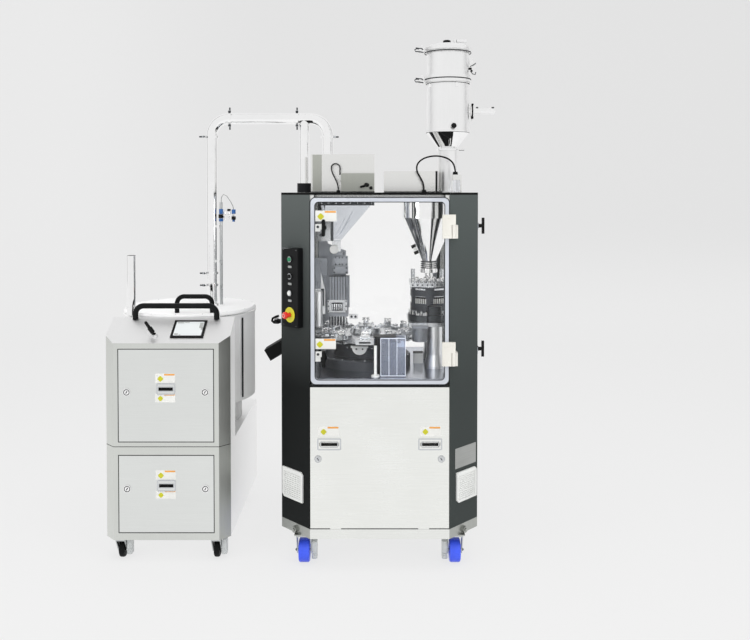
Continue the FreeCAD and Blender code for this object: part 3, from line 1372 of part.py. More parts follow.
def aux_console():
    """Upper cabinet: chamfered in plan, with a sloping top."""
    low, front = s.unit_deck, s.console_front
    crest = front + s.console_rise
    depth = s.console_depth
    plan = prism(unit_plan(depth), low, crest)
    half = s.unit_width / 2
    side_view = prism([(0, low), (depth, low), (depth, crest), (depth - 5, crest), (0, front)],
                      -half, half, "YZ")
    wall = s.unit_wall
    front_wall = wall + s.unit_cut / 2
    hollow = block((front_wall - half, half - front_wall), (front_wall, depth - wall),
                   (low + wall, front - wall))
    shell = cut(common(plan, side_view), hollow,
                aperture(s.upper_door_bottom, s.upper_door_top, front_wall + 1))
    lip = block((6 - half, half - 6), (depth, depth + 6), (low, low + 30))
    cup = turned([(0, 0), (17, 0), (17, 5), (13, 6), (13, 14), (10, 14), (10, 2.5), (0, 2.5)])
    bushing = fuse(cup, rod(LEVER_PIN, 0, -11.5, LEVER_PIVOT, 23, "Y"))
    stops = door_stops(s.upper_door_bottom, s.upper_door_top, s.reveal)
    node("aux_console", [shell, lip, slope_piece(bushing, *SWITCH_SPOT)] + stops, unit_place())


def unit_door(label, low, high, pull_rise):
    """A lift-off door with one flush pull, set above its middle, and two locks."""
    pull_z = (low + high) / 2 + pull_rise
    half = s.unit_door_wide / 2
    sheet = block((-half, half), (0, s.unit_door_thick), (low, high))
    pieces = [cut(sheet, cup_hole(0, pull_z, s.unit_door_thick, 0.8)), pull_cup(0, pull_z, 0.8)]
    for side in (-1, 1):
        pieces += lock(side * (half - 44), pull_z - 17)
    node(label, pieces, unit_place())


def unit_doors():
    unit_door("aux_upper_door", s.upper_door_bottom, s.upper_door_top, 35.5)
    unit_door("aux_lower_door", s.lower_door_bottom, s.lower_door_top, 45.5)


def dust_drum():
    """Drum on its skirt, with rolled rim and bottom."""
    radius, wall = s.drum_radius, s.drum_wall
    low, high = s.drum_bottom, s.drum_top
    y = s.pipe_y
    shell = turned([(0, low), (radius, low), (radius, high - 10), (radius + 6, high - 10), (radius + 6, high),
                    (radius - wall, high), (radius - wall, low + wall), (0, low + wall)], 0, y)
    skirt = turned([(0, s.unit_deck), (s.skirt_radius, s.unit_deck), (s.skirt_radius, low), (0, low)], 0, y)
    skirt = cut(skirt, block((-400, 400), (0, s.console_depth + 7), (s.unit_deck, low)))
    node("dust_drum", [shell, skirt], unit_place())


def loop_handle(x0, x1, y, z, rise, radius, bend):
    """A round bar handle: two legs, two bends and the grip between them, all one bar."""
    x0, x1, y, z = sized(x0), sized(x1), sized(y), sized(z)
    top = z + rise
    upright = FreeCAD.Rotation(V(1, 0, 0), 90)
    legs = [rod(radius, x, y, z, rise - bend) for x in (x0, x1)]
    grip = rod(radius, x0 + bend, y, top, x1 - x0 - 2 * sized(bend), "X")
    bends = []
    for x, turn in ((x0 + bend, upright.multiply(about_z(90))), (x1 - bend, upright)):
        torus = DOC.addObject("Part::Torus", "Bend")
        bind(torus, "Radius1", bend)
        bind(torus, "Radius2", radius)
        torus.Angle3 = 90
        bends.append(put(torus, x, y, top - bend, turn))
    return fuse(grip, *legs, *bends)


def drum_lid():
    """Flat drum lid with its raised middle and a black loop handle near its front edge."""
    radius = s.drum_radius + 6
    low = s.drum_top
    y = s.pipe_y
    lid = turned([(0, low), (radius, low), (radius, low + 12), (radius - 8, low + s.lid_thick),
                  (0, low + s.lid_thick)], 0, y)
    handle = loop_handle(-10, 188, y - 300, low + s.lid_thick, sized(92), 13, 40)
    node("drum_lid", [lid, handle], unit_place())


def push_handle():
    """Black push handle along the console's crest."""
    half = s.handle_span / 2
    top = s.console_front + s.console_rise
    y = s.console_depth - 3 - s.handle_radius
    legs_low = top - 9
    left, right = s.handle_shift - half, s.handle_shift + half
    handle = loop_handle(left, right, y, legs_low, s.handle_rise + 9, s.handle_radius, s.handle_bend)
    slope = slope_cut()
    node("push_handle", [cut(handle, slope)], unit_place())


def slope_cut():
    """Everything below the console's sloping face."""
    front, crest = s.console_front, s.console_front + s.console_rise
    half = s.unit_width / 2
    depth = s.console_depth
    return prism([(0, front - 60), (depth, front - 60), (depth, crest), (depth - 5, crest), (0, front)],
                 -half, half, "YZ")


def slope_angle():
    return math.degrees(math.atan2(SIZES["console_rise"], SIZES["console_depth"] - 5))


def slope_piece(shape, x, along):
    """Stands a shape drawn flat, with its z outwards, on the console's sloping face."""
    holder = DOC.addObject("Part::Compound", "OnSlope")
    holder.Links = [shape]
    slant = math.radians(slope_angle())
    y = along * math.cos(slant)
    z = along * math.sin(slant)
    return put(holder, x, y, s.console_front + z, FreeCAD.Rotation(V(1, 0, 0), slope_angle()))


def touch_panel():
    """Touch panel: its dark frame and the glass in it."""
    wide, deep = s.screen_wide / 2, s.screen_deep / 2
    frame = block((-wide, wide), (-deep, deep), (0, 6))
    well = block((12 - wide, wide - 12), (12 - deep, deep - 12), (3, 6))
    glass = block((12 - wide, wide - 12), (12 - deep, deep - 12), (3, 5.5))
    node("touch_panel", [slope_piece(cut(frame, well), 102, 112), slope_piece(glass, 102, 112)], unit_place())


def lever_switch():
    """The lever on its cross pin in the console's cup: a barrel, a metal collar and the black grip."""
    profile = [(0, 0), (4, 0), (4, 16), (12.5, 17), (12.5, 49), (10, 51), (8.5, 52), (8.5, 88), (6, 94), (0, 95)]
    barrel = rod(5, 0, -7, 0, 14, "Y")
    leaning = DOC.addObject("Part::Compound", "Lever")
    leaning.Links = [cut(fuse(turned(profile), barrel), rod(LEVER_PIN + s.running_gap, 0, -8, 0, 16, "Y"))]
    put(leaning, 0, 0, LEVER_PIVOT, FreeCAD.Rotation(V(0, 1, 0), -LEVER_LEAN))
    node("switch_lever", [slope_piece(leaning, *SWITCH_SPOT)], unit_place())


# ---------------------------------------------------------------- castors

def wheel(x, y, radius, wide, axle):
    """A wheel with a crowned tread and hub bosses, running on its axle."""
    bore = axle + s.running_gap
    tread, hub = radius, radius * 0.5
    boss = hub * 0.6
    left_side = [(bore, 2), (boss, 2), (boss, 5), (hub, 5), (hub + 4, 2), (tread - 7, 2), (tread - 2, 5),
                 (tread, 11)]
    right_side = [(reach, wide - along) for reach, along in reversed(left_side)]
    profile = left_side + right_side
    return turned(profile, x - wide / 2, y, radius, "X")


def swivel_fork(x, y, trail, top, radius, wide, axle):
    """A swivel castor's fork: king pin in the plate, crown, two cheeks and the axle."""
    under = top - PLATE_THICK - CLEAR
    crown_thick = 12
    low = under - crown_thick
    centre_y = y + trail
    pin = rod(KING_PIN, x, y, under, PLATE_THICK)
    crown = block((x - wide / 2 - 9, x + wide / 2 + 9), (y - 34, y + 34), (low, under))
    pieces = [pin, crown]
    for side in (-1, 1):
        start = x + side * (wide / 2 + 4) - (5 if side < 0 else 0)
        cheek = [(y - 34, low), (y + 34, low), (centre_y + 16, radius + 6), (centre_y + 12, radius - 15),
                 (centre_y - 12, radius - 15)]
        pieces.append(prism(cheek, start, start + 5, "YZ"))
    pieces.append(rod(axle, x - wide / 2 - 4, centre_y, radius, wide + 8, "X"))
    return pieces


def castors():
    """Front castors swivel. The two rear wheels of each cabinet run in fixed brackets on one line."""
    sets = [("machine", machine_place(), s.castor_x, s.castor_front, s.castor_rear, s.skirt_bottom,
             s.wheel_radius, s.wheel_wide, AXLE),
            ("unit", unit_place(), s.small_castor_x, s.small_castor_front, s.small_castor_rear, s.unit_bottom,
             s.small_wheel_radius, s.small_wheel_wide, SMALL_AXLE)]
    for name, place, castor_x, front, rear, top, radius, wide, axle in sets:
        trail = s.trail * radius / s.wheel_radius
        for side, hand in ((-1, "left"), (1, "right")):
            x = side * castor_x
            node("%s_fork_%s" % (name, hand), swivel_fork(x, front, trail, top, radius, wide, axle), place)
            node("%s_wheel_%s" % (name, hand), [wheel(x, front + trail, radius, wide, axle)], place)
        pair = [wheel(side * castor_x, rear, radius, wide, axle) for side in (-1, 1)]
        node("%s_wheels_rear" % name, pair, place)


# ---------------------------------------------------------------- the whole set

def build():
    for make in (base_frame, main_frame, deck_plate, roof_plate, corner_panels, lower_cladding, rear_window,
                 vent_grilles, control_box, buttons, front_door, side_doors, hinge_leaves, latches, lower_panel,
                 discharge_chute, drive_unit, turret_housing, turret, dosing_frame, dosing_disc, tamping_head,
                 powder_hopper, capsule_hopper, capsule_feeder, capsule_magazine, reject_box, loader_vessel,
                 loader_head, roof_boxes, cords, dust_pipe, aux_base, aux_console, unit_doors, dust_drum,
                 drum_lid, push_handle, touch_panel, lever_switch, castors):
        make()


def check():
    """Stops when any object failed or any sub-part's shape is missing or wrong."""
    failed = [item.Name for item in DOC.Objects if {"Invalid", "Error"} & set(item.State)]
    broken = [item.Label for item in NODES if item.Shape.isNull() or not item.Shape.isValid()]
    empty = [item.Label for item in NODES if not item.Shape.Solids]
    if failed or broken or empty:
        raise RuntimeError("failed %s, broken %s, empty %s" % (failed, broken, empty))


def write():
    os.makedirs("parts", exist_ok=True)
    for item in NODES:
        item.Shape.exportStep("parts/%s.step" % item.Label)
    whole = FreeCAD.BoundBox()
    for item in NODES:
        whole.add(item.Shape.BoundBox)
    print("%d sub-parts, %s" % (len(NODES), whole))


build()
DOC.recompute()
check()
write()
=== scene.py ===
"""Looks of the capsule filler: the cabinet with its chamber, the loader on the roof and the dust unit."""
import math

import bmesh
import bpy
import numpy as np
from mathutils import Matrix, Vector


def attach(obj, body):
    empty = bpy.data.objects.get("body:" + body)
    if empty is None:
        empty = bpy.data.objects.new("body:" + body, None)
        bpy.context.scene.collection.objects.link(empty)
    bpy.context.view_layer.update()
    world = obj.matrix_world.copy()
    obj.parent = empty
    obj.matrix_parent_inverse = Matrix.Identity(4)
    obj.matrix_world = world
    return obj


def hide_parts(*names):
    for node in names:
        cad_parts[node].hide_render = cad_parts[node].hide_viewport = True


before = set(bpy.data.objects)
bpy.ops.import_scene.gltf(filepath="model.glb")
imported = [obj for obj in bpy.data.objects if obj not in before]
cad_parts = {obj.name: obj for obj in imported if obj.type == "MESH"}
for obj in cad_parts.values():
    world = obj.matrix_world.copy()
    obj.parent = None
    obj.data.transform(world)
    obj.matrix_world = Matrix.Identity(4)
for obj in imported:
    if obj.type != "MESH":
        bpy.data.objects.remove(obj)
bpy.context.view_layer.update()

MM = 0.001
# The middle of each cabinet's front, on the floor.
MACHINE = Vector((432.5, -528.5, 0.0)) * MM
UNIT = Vector((-698.5, -423.5, 0.0)) * MM


def on_machine(x, y, z):
    """A point of the machine, from millimetres off the middle of its front and the floor."""
    return MACHINE + Vector((x, y, z)) * MM


def on_unit(x, y, z):
    """A point of the dust unit, from millimetres off the middle of its front and the floor."""
    return UNIT + Vector((x, y, z)) * MM


# ---------------------------------------------------------------- camera

CAMERA_ASIDE = 0.022
CAMERA_DISTANCE = 4.16
CAMERA_HEIGHT = 1.972
CAMERA_PITCH = 1.28
CAMERA_LENS = 38.9
CAMERA_SHIFT = (-0.0006, -0.1463)

camera_data = bpy.data.cameras.new("camera")
camera_data.lens = CAMERA_LENS
camera_data.shift_x, camera_data.shift_y = CAMERA_SHIFT
camera = bpy.data.objects.new("camera", camera_data)
camera.location = (MACHINE.x - CAMERA_ASIDE, MACHINE.y - CAMERA_DISTANCE, CAMERA_HEIGHT)
camera.rotation_euler = (math.radians(90 - CAMERA_PITCH), 0, 0)
bpy.context.collection.objects.link(camera)
bpy.context.scene.camera = camera


# ---------------------------------------------------------------- cords

def cord_curve(name, diameter, points):
    """A cable's smooth line on its route, as a round tube."""
    curve = bpy.data.curves.new(name, "CURVE")
    curve.dimensions = "3D"
    curve.bevel_depth = diameter / 2
    curve.bevel_resolution = 5
    curve.resolution_u = 10
    spline = curve.splines.new("NURBS")
    spline.points.add(len(points) - 1)
    for control, place in zip(spline.points, points):
        control.co = (*place, 1)
    spline.order_u = 3
    spline.use_endpoint_u = True
    made = bpy.data.objects.new(name, curve)
    bpy.context.collection.objects.link(made)
    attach(made, "cabinets")
    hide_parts(name)
    return made


# Each cable loops in one plane across the roof: that plane's depth, and the loop's (x, z) from its gland on.
LOADER_DEPTH, BOX_DEPTH = 300, 378
LOADER_ROUTE = [(245, 1984.4), (244, 2014), (226, 2052), (204, 2088), (206, 2128), (240, 2158), (292, 2172),
                (346, 2169), (390, 2150), (414, 2118), (417, 2084.2)]
BOX_ROUTE = [(-230, 1982.4), (-231, 2010), (-246, 2046), (-266, 2083), (-271, 2120.4), (-246, 2134.9),
             (-220, 2120.4), (-221, 2093), (-221, 2068)]
loader_points = [on_machine(x, LOADER_DEPTH, z) for x, z in LOADER_ROUTE]
box_points = [on_machine(x, BOX_DEPTH, z) for x, z in BOX_ROUTE]
loader_cable = cord_curve("loader_cable", 0.009, loader_points)
box_cable = cord_curve("box_cable", 0.0065, box_points)


# ---------------------------------------------------------------- finishes

def colour(code):
    """A colour from its sRGB hex code, made linear."""
    channels = [int(code[start:start + 2], 16) / 255 for start in (0, 2, 4)]
    return tuple(c / 12.92 if c <= 0.04045 else ((c + 0.055) / 1.055) ** 2.4 for c in channels) + (1.0,)


def add(tree, kind, inputs=None, **settings):
    """Adds a node with its settings. Its inputs are values or (node, output), by name or number."""
    made = tree.nodes.new(kind)
    for key, value in settings.items():
        setattr(made, key, value)
    for key, value in (inputs or {}).items():
        if isinstance(value, tuple) and isinstance(value[0], bpy.types.Node):
            tree.links.new(value[0].outputs[value[1]], made.inputs[key])
        else:
            made.inputs[key].default_value = value
    return made


def new_finish(name):
    """An empty material with its output, its surface shader and its object coordinates."""
    made = bpy.data.materials.new(name)
    made.use_nodes = True
    tree = made.node_tree
    tree.nodes.clear()
    shader = add(tree, "ShaderNodeBsdfPrincipled")
    add(tree, "ShaderNodeOutputMaterial", {"Surface": (shader, "BSDF")})
    place = add(tree, "ShaderNodeTexCoord")
    return made, tree, shader, place


def two_tones(tree, factor, first, second):
    """A colour that moves from one tone to another."""
    ramp = add(tree, "ShaderNodeValToRGB", {"Fac": factor})
    for stop, position, code in zip(ramp.color_ramp.elements, (0.3, 0.7), (first, second)):
        stop.position = position
        stop.color = colour(code)
    return (ramp, "Color")


def between(tree, factor, low, high):
    """A value that a pattern moves between two limits."""
    made = add(tree, "ShaderNodeMapRange", {"Value": factor, "From Min": 0.25, "From Max": 0.75,
                                            "To Min": low, "To Max": high})
    return (made, "Result")


def dress(tree, shader, tone, rough, relief):
    """Gives a surface its colour, its roughness and its relief, each as (node, output)."""
    for socket, (source, output) in (("Base Color", tone), ("Roughness", rough), ("Normal", relief)):
        tree.links.new(source.outputs[output], shader.inputs[socket])


# How deep a scratch and a grain are, in metres, where their strength is 1, and how many faint clouds a metre
# the tone of a sheet, of a coat and of a pane has.
SCRATCH_DEPTH, GRAIN_DEPTH = 0.0002, 0.0003
SHEET_CLOUDS, COAT_CLOUDS, PANE_SMEARS = 3.5, 6.0, 9.0


def brushed(name, tone, shade, grain, rough=(0.22, 0.3), bump=0.05):
    """Brushed metal: long fine scratches, so many a metre on each axis, and faint clouds."""
    made, tree, shader, place = new_finish(name)
    stretched = add(tree, "ShaderNodeMapping", {"Vector": (place, "Object"), "Scale": grain})
    scratches = add(tree, "ShaderNodeTexNoise", {"Vector": (stretched, "Vector"), "Scale": 1.0, "Detail": 4.0,
                                                 "Roughness": 0.6})
    clouds = add(tree, "ShaderNodeTexNoise", {"Vector": (place, "Object"), "Scale": SHEET_CLOUDS,
                                              "Detail": 2.0})
    mixed = add(tree, "ShaderNodeMath", {0: (scratches, "Fac"), 1: (clouds, "Fac")}, operation="ADD")
    half = add(tree, "ShaderNodeMath", {0: (mixed, "Value"), 1: 0.5}, operation="MULTIPLY")
    relief = add(tree, "ShaderNodeBump", {"Height": (scratches, "Fac"), "Strength": bump,
                                          "Distance": SCRATCH_DEPTH})
    pattern = (half, "Value")
    dress(tree, shader, two_tones(tree, pattern, shade, tone), between(tree, pattern, *rough),
          (relief, "Normal"))
    shader.inputs["Metallic"].default_value = 1.0
    return made


def speckled(name, tone, shade, grains, rough, bump, metallic=0.0, **sockets):
    """A moulded, painted or cast surface: so many grains a metre, and a tone that varies a little."""
    made, tree, shader, place = new_finish(name)
    grit = add(tree, "ShaderNodeTexNoise", {"Vector": (place, "Object"), "Scale": grains, "Detail": 3.0})
    clouds = add(tree, "ShaderNodeTexNoise", {"Vector": (place, "Object"), "Scale": COAT_CLOUDS,
                                              "Detail": 3.0})
    relief = add(tree, "ShaderNodeBump", {"Height": (grit, "Fac"), "Strength": bump, "Distance": GRAIN_DEPTH})
    dress(tree, shader, two_tones(tree, (clouds, "Fac"), shade, tone), between(tree, (grit, "Fac"), *rough),
          (relief, "Normal"))
    shader.inputs["Metallic"].default_value = metallic
    for key, value in sockets.items():
        shader.inputs[key.replace("_", " ")].default_value = value
    return made


# Where painted light and shade change the charcoal coat's tone, in metres: between two heights, and this far
# each side of the machine's middle.
SHADE_FOOT, SHADE_HEAD, SHADE_ASIDE = 0.95, 1.95, 0.3


def painted_light_coat(name, grains, *tones):
    """A coat with painted light and shade, paler up high and on the right: tones of the left's bottom and
    top, then of the right's.
    """
    made, tree, shader, place = new_finish(name)
    grit = add(tree, "ShaderNodeTexNoise", {"Vector": (place, "Object"), "Scale": grains, "Detail": 3.0})
    way = add(tree, "ShaderNodeSeparateXYZ", {"Vector": (place, "Object")})
    rise = add(tree, "ShaderNodeMapRange", {"Value": (way, "Z"), "From Min": SHADE_FOOT,
                                            "From Max": SHADE_HEAD})
    across = add(tree, "ShaderNodeMapRange", {"Value": (way, "X"), "From Min": MACHINE.x - SHADE_ASIDE,
                                              "From Max": MACHINE.x + SHADE_ASIDE})
    left, right = (add(tree, "ShaderNodeMix", {0: (rise, "Result"), 6: colour(low), 7: colour(high)},
                       data_type="RGBA") for low, high in (tones[:2], tones[2:]))
    tone = add(tree, "ShaderNodeMix", {0: (across, "Result"), 6: (left, 2), 7: (right, 2)}, data_type="RGBA")
    relief = add(tree, "ShaderNodeBump", {"Height": (grit, "Fac"), "Strength": 0.25, "Distance": GRAIN_DEPTH})
    dress(tree, shader, (tone, 2), between(tree, (grit, "Fac"), 0.42, 0.54), (relief, "Normal"))
    shader.inputs["Specular IOR Level"].default_value = 0.08
    return made


# Below glass's 1.5, so that a pane mirrors less of the white room and shows what is behind it.
PANE_IOR = 1.25


def clear(name, tone, rough=0.0, seen=1.0):
    """A clear sheet: light from the lamps goes through it to what is inside."""
    made, tree, shader, place = new_finish(name)
    smears = add(tree, "ShaderNodeTexNoise", {"Vector": (place, "Object"), "Scale": PANE_SMEARS,
                                              "Detail": 2.0})
    dull, output = between(tree, (smears, "Fac"), rough, rough + 0.02)
    tree.links.new(dull.outputs[output], shader.inputs["Roughness"])
    shader.inputs["Base Color"].default_value = colour(tone)
    shader.inputs["Transmission Weight"].default_value = seen
    shader.inputs["IOR"].default_value = PANE_IOR
    path = add(tree, "ShaderNodeLightPath")
    through = add(tree, "ShaderNodeBsdfTransparent", {"Color": colour(tone)})
    mix = add(tree, "ShaderNodeMixShader", {0: (path, "Is Shadow Ray"), 1: (shader, "BSDF"),
                                            2: (through, "BSDF")})
    tree.links.new(mix.outputs["Shader"], tree.nodes["Material Output"].inputs["Surface"])
    return made


# A belt leaves a scratch about every half millimetre. Here one is about 4 mm wide, with finer ones in it,
# so that it shows, and it runs for some 170 mm along the brushing.
FINE, LONG = 240.0, 6.0
ACROSS, UP, ALONG = (LONG, FINE, FINE), (FINE, FINE, LONG), (FINE, LONG, FINE)

# Brushed stainless sheet: pale and satin, with fine lines that draw each highlight out along them.
panel_steel = brushed("stainless_304_belt_brushed_across", "f2f3f0", "e9eae6", ACROSS, bump=0.03)
upright_steel = brushed("stainless_304_belt_brushed_upright", "eff0ee", "e6e7e5", UP, bump=0.03)
top_steel = brushed("stainless_304_brushed_tops", "f0f0ee", "e8e8e6", ALONG, bump=0.03)
skirt_steel = brushed("stainless_304_skirt", "f0f1ee", "e4e5e2", ACROSS)
# The unit's sheet is brushed coarser and mirrors nothing sharply. Each face has one even grey of painted
# light
# and shade: the sides near white, the front greyer, the chamfer darker still.
unit_steel = brushed("stainless_304_brushed_unit_front", "d9dbd7", "d2d4d0", UP, (0.34, 0.42), 0.02)
# Painted shade: a darker copy of the sheet for the chamfers that turn away from the light, on the unit's
# right and on the skirt.
painted_shade_chamfer_steel = brushed("stainless_304_chamfer_painted_shade", "b4b6b2", "a6a8a4", UP, (0.3, 0.4), 0.02)
door_steel = brushed("stainless_304_brushed_unit_doors", "e4e6e4", "dddfdd", ACROSS, (0.3, 0.38), 0.02)
side_steel = brushed("stainless_304_brushed_unit_sides", "fafafa", "f4f4f4", UP, (0.4, 0.5), 0.02)
# Painted reflection: a greyer copy of the roof boxes' sheet, for the dark that the small box and a strip of
# the large box mirror.
painted_reflection_grey = brushed("brushed_steel_painted_reflection", "c9cbc4", "bcbeb6", UP, (0.4, 0.5), 0.02)
# Polished tube and cone: a near mirror that shows the white room and the dark flags at its sides.
polished_steel = brushed("stainless_316_mirror_polished", "fbfbfb", "f4f4f4", (20.0, 20.0, 20.0),
                         (0.05, 0.09), 0.01)
# Satin vessel and bead blasted drum: soft, almost white, with the edges just darker than the air behind.
vessel_steel = brushed("stainless_316_satin_vessel", "fdfdfd", "f6f6f6", UP, (0.36, 0.44), 0.02)
drum_steel = speckled("bead_blasted_drum", "efefef", "ebebeb", 300.0, (0.6, 0.7), 0.04,
                      Specular_IOR_Level=0.2)
# Turned, ground and plated steel: short marks that break a highlight up into strokes.
machined_steel = brushed("machined_bright_steel", "dadcde", "bfc2c5", (160.0, 160.0, 20.0), (0.18, 0.3))
satin_steel = brushed("satin_turned_column_steel", "f6f7f8", "e6e8ea", (30.0, 30.0, 300.0), (0.34, 0.46))
fork_steel = brushed("zinc_plated_castor_fork", "d2d4d4", "aeb1b2", (90.0, 90.0, 40.0), (0.24, 0.4))
dark_steel = brushed("black_oxide_steel", "5a5d60", "3b3e41", (120.0, 120.0, 30.0), (0.28, 0.42))
# The deck and the name plate: greyer sheet, brushed across.  The deck is glossy enough to mirror what
# stands on it.
deck_steel = brushed("grey_satin_deck_plate", "c4c8d2", "aeb2bc", ACROSS, (0.14, 0.24))
name_plate_steel = brushed("brushed_name_plate", "b3b4b2", "949694", (8.0, 8.0, 500.0), (0.25, 0.35))
# Powder coat has a fine orange peel that spreads and dulls its highlights: just over 1 mm from bump to bump,
# and 3 mm on the castors' plates. Its specular level is low where it is black, so that it stays black in a
# white room.
black_paint = speckled("black_powder_coat", "0d0e0e", "070808", 900.0, (0.5, 0.6), 0.25,
                       Specular_IOR_Level=0.12)
band_paint = speckled("pale_lilac_door_coat", "c3c7ce", "babec6", 800.0, (0.3, 0.42), 0.15)
cream_paint = speckled("cream_hinge_coat", "dcdad3", "d3d0c8", 700.0, (0.32, 0.45), 0.15)
# The charcoal corner panels: their tone is painted light and shade, dark low on the left and paler up high
# and on the right.
charcoal_coat = painted_light_coat("charcoal_coat_painted_light_and_shade", 900.0, "161818", "575c5b", "3a3f3e", "505655")
castor_grey = speckled("pale_castor_plate", "c6c9c9", "b9bcbc", 300.0, (0.35, 0.45), 0.1)
# Moulded plastic has a fine grain, 2 to 3 mm here so that it shows: a soft sheen, but a gloss on phenolic.
black_plastic = speckled("moulded_black_abs", "121314", "0b0c0d", 500.0, (0.4, 0.5), 0.12,
                         Specular_IOR_Level=0.16)
gloss_black = speckled("glossy_black_phenolic", "0a0b0b", "050606", 300.0, (0.16, 0.24), 0.04,
                       Specular_IOR_Level=0.2)
white_plastic = speckled("moulded_white_abs", "e4e5e3", "dadbd9", 500.0, (0.35, 0.5), 0.1)
green_cap = speckled("moulded_green_button", "1f8f5f", "17774e", 300.0, (0.22, 0.32), 0.05)
red_cap = speckled("moulded_red_mushroom", "e0372c", "c42a22", 300.0, (0.25, 0.35), 0.05)
yellow_disc = speckled("yellow_stop_disc", "d6d23a", "c9c430", 300.0, (0.35, 0.45), 0.05)
blue_plastic = speckled("moulded_blue_valve", "2b5f9e", "1f4d86", 300.0, (0.25, 0.4), 0.08)
# Castings: a hammered skin with 6 mm dimples that catches small broken highlights.
cast_grey = speckled("grey_hammered_casting", "9ca0a6", "82868c", 160.0, (0.34, 0.46), 0.5, 0.5)
dark_casting = speckled("dark_grey_casting", "4a4d52", "34373b", 160.0, (0.34, 0.46), 0.4, 0.3,
                        Specular_IOR_Level=0.35)
# Treads, seals and the cable's jacket: matt, with hardly a highlight.
blue_tread = speckled("blue_polyurethane_tread", "3f5ef2", "3350e0", 260.0, (0.3, 0.42), 0.12)
black_tread = speckled("black_rubber_tread", "0f1011", "08090a", 260.0, (0.5, 0.65), 0.25,
                       Specular_IOR_Level=0.15)
cable_jacket = speckled("black_pvc_cable_jacket", "0e0e0f", "080809", 400.0, (0.42, 0.52), 0.1,
                        Specular_IOR_Level=0.2)
seal_rubber = speckled("dark_rubber_seal", "202124", "151618", 400.0, (0.5, 0.6), 0.15,
                       Specular_IOR_Level=0.2)
# Labels: smooth printed vinyl, with plain flat tones.
label_white = speckled("white_vinyl_label", "dededa", "d8d8d4", 300.0, (0.35, 0.45), 0.03)
label_yellow = speckled("yellow_vinyl_mark", "c2c024", "b6b31c", 300.0, (0.35, 0.45), 0.03)
label_orange = speckled("orange_vinyl_bar", "e0a04a", "d8923a", 300.0, (0.35, 0.45), 0.03)
label_grey = speckled("grey_vinyl_line", "9a9c9b", "8c8e8d", 300.0, (0.35, 0.45), 0.03)
# Glass and cast acrylic: clear, with faint smears, and a pale bluish line where an edge is polished.
door_glass = clear("float_glass_toughened", "ffffff")
acrylic = clear("clear_cast_acrylic", "d6dce8", 0.02, 0.9)
hopper_acrylic = clear("smoked_clear_hopper", "e9ebee", 0.04)
acrylic_edge = speckled("polished_acrylic_edge", "e3e8f2", "d3d9e6", 300.0, (0.1, 0.2), 0.03)
screen_glass = speckled("touch_panel_glass", "cfd3d4", "c9cdce", 200.0, (0.1, 0.16), 0.02)

for cable in (loader_cable, box_cable):
    cable.data.materials.append(cable_jacket)


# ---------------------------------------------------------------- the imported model's finishes

def solids_of(item):
    """Each face's solid number, from which corners the faces share, and each solid's middle."""
    mesh = item.data
    corners = np.empty(len(mesh.vertices) * 3)
    mesh.vertices.foreach_get("co", corners)
    corners = corners.reshape(-1, 3)
    loops = np.empty(len(mesh.loops), int)
    mesh.loops.foreach_get("vertex_index", loops)
    triangles = loops.reshape(-1, 3)
    _, welded = np.unique(np.round(corners, 6), axis=0, return_inverse=True)
    joined = welded.reshape(-1)[triangles]
    label = np.arange(joined.max() + 1)
    while True:
        before = label.copy()
        np.minimum.at(label, joined.ravel(), np.repeat(label[joined].min(axis=1), 3))
        label = label[label]
        if (label == before).all():
            break
    faces = label[joined[:, 0]]
    middles = {}
    for solid in np.unique(faces):
        own = corners[triangles[faces == solid]].reshape(-1, 3)
        middles[solid] = (own.min(axis=0) + own.max(axis=0)) / 2
    return faces, middles


def inside(points, low, high, spot):
    """Which points lie in a box given in the machine's or the unit's millimetres."""
    ends = np.array([spot(*low), spot(*high)])
    return ((points >= ends.min(axis=0)) & (points <= ends.max(axis=0))).all(axis=1)


def coat(name, main, solids=(), faces=(), spot=on_machine):
    """Gives a node its finish. Solids, then single faces, whose middle lies in a box take another."""
    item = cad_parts[name]
    mesh = item.data
    mesh.materials.clear()
    mesh.materials.append(main)
    if not solids and not faces:
        return
    numbers, middles = solids_of(item)
    slots = np.zeros(len(numbers), int)
    solid_middles = np.array([middles[number] for number in numbers])
    face_middles = np.empty(len(numbers) * 3)
    mesh.polygons.foreach_get("center", face_middles)
    chosen = [(solid_middles, choice) for choice in solids]
    chosen += [(face_middles.reshape(-1, 3), choice) for choice in faces]
    for points, (finish, low, high) in chosen:
        if finish.name not in mesh.materials:
            mesh.materials.append(finish)
        slots[inside(points, low, high, spot)] = mesh.materials.find(finish.name)
    mesh.polygons.foreach_set("material_index", slots)
    mesh.update()


# Nodes of one finish all over.
for names, finish in (
        ("main_frame lower_cladding", upright_steel),
        ("lower_panel", panel_steel),
        ("deck_plate", deck_steel),
        ("roof_plate discharge_chute", black_paint),
        ("corner_panels", charcoal_coat),
        ("vent_grilles jog_button", white_plastic),
        ("control_box push_handle touch_panel", black_plastic),
        ("start_button", green_cap),
        ("estop_button", red_cap),
        ("stop_button switch_lever", gloss_black),
        ("front_latch_upper front_latch_lower right_latch_upper right_latch_lower left_latch", gloss_black),
        ("hinge_leaves", cream_paint),
        ("drive_unit", cast_grey),
        ("turret dosing_disc", machined_steel),
        ("powder_hopper", polished_steel),
        ("capsule_hopper", hopper_acrylic),
        ("reject_box", acrylic),
        ("aux_upper_door aux_lower_door", door_steel),
        ("dust_drum", drum_steel),
        (" ".join(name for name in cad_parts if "_fork_" in name), fork_steel),
        (" ".join(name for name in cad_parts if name.startswith("machine_wheel")), blue_tread),
        (" ".join(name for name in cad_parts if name.startswith("unit_wheel")), black_tread)):
    for name in names.split():
        coat(name, finish)

# The skirt: the black bolts in its lugs, and chamfers greyed with painted shade.
coat("base_frame", skirt_steel, [
    (black_paint, (-460, 64, 188), (-452, 74, 202)),
    (black_paint, (452, 64, 188), (460, 74, 202))], [
    (painted_shade_chamfer_steel, (-522, 3, 150), (-366, 155, 240)),
    (painted_shade_chamfer_steel, (366, 3, 150), (522, 155, 240))])

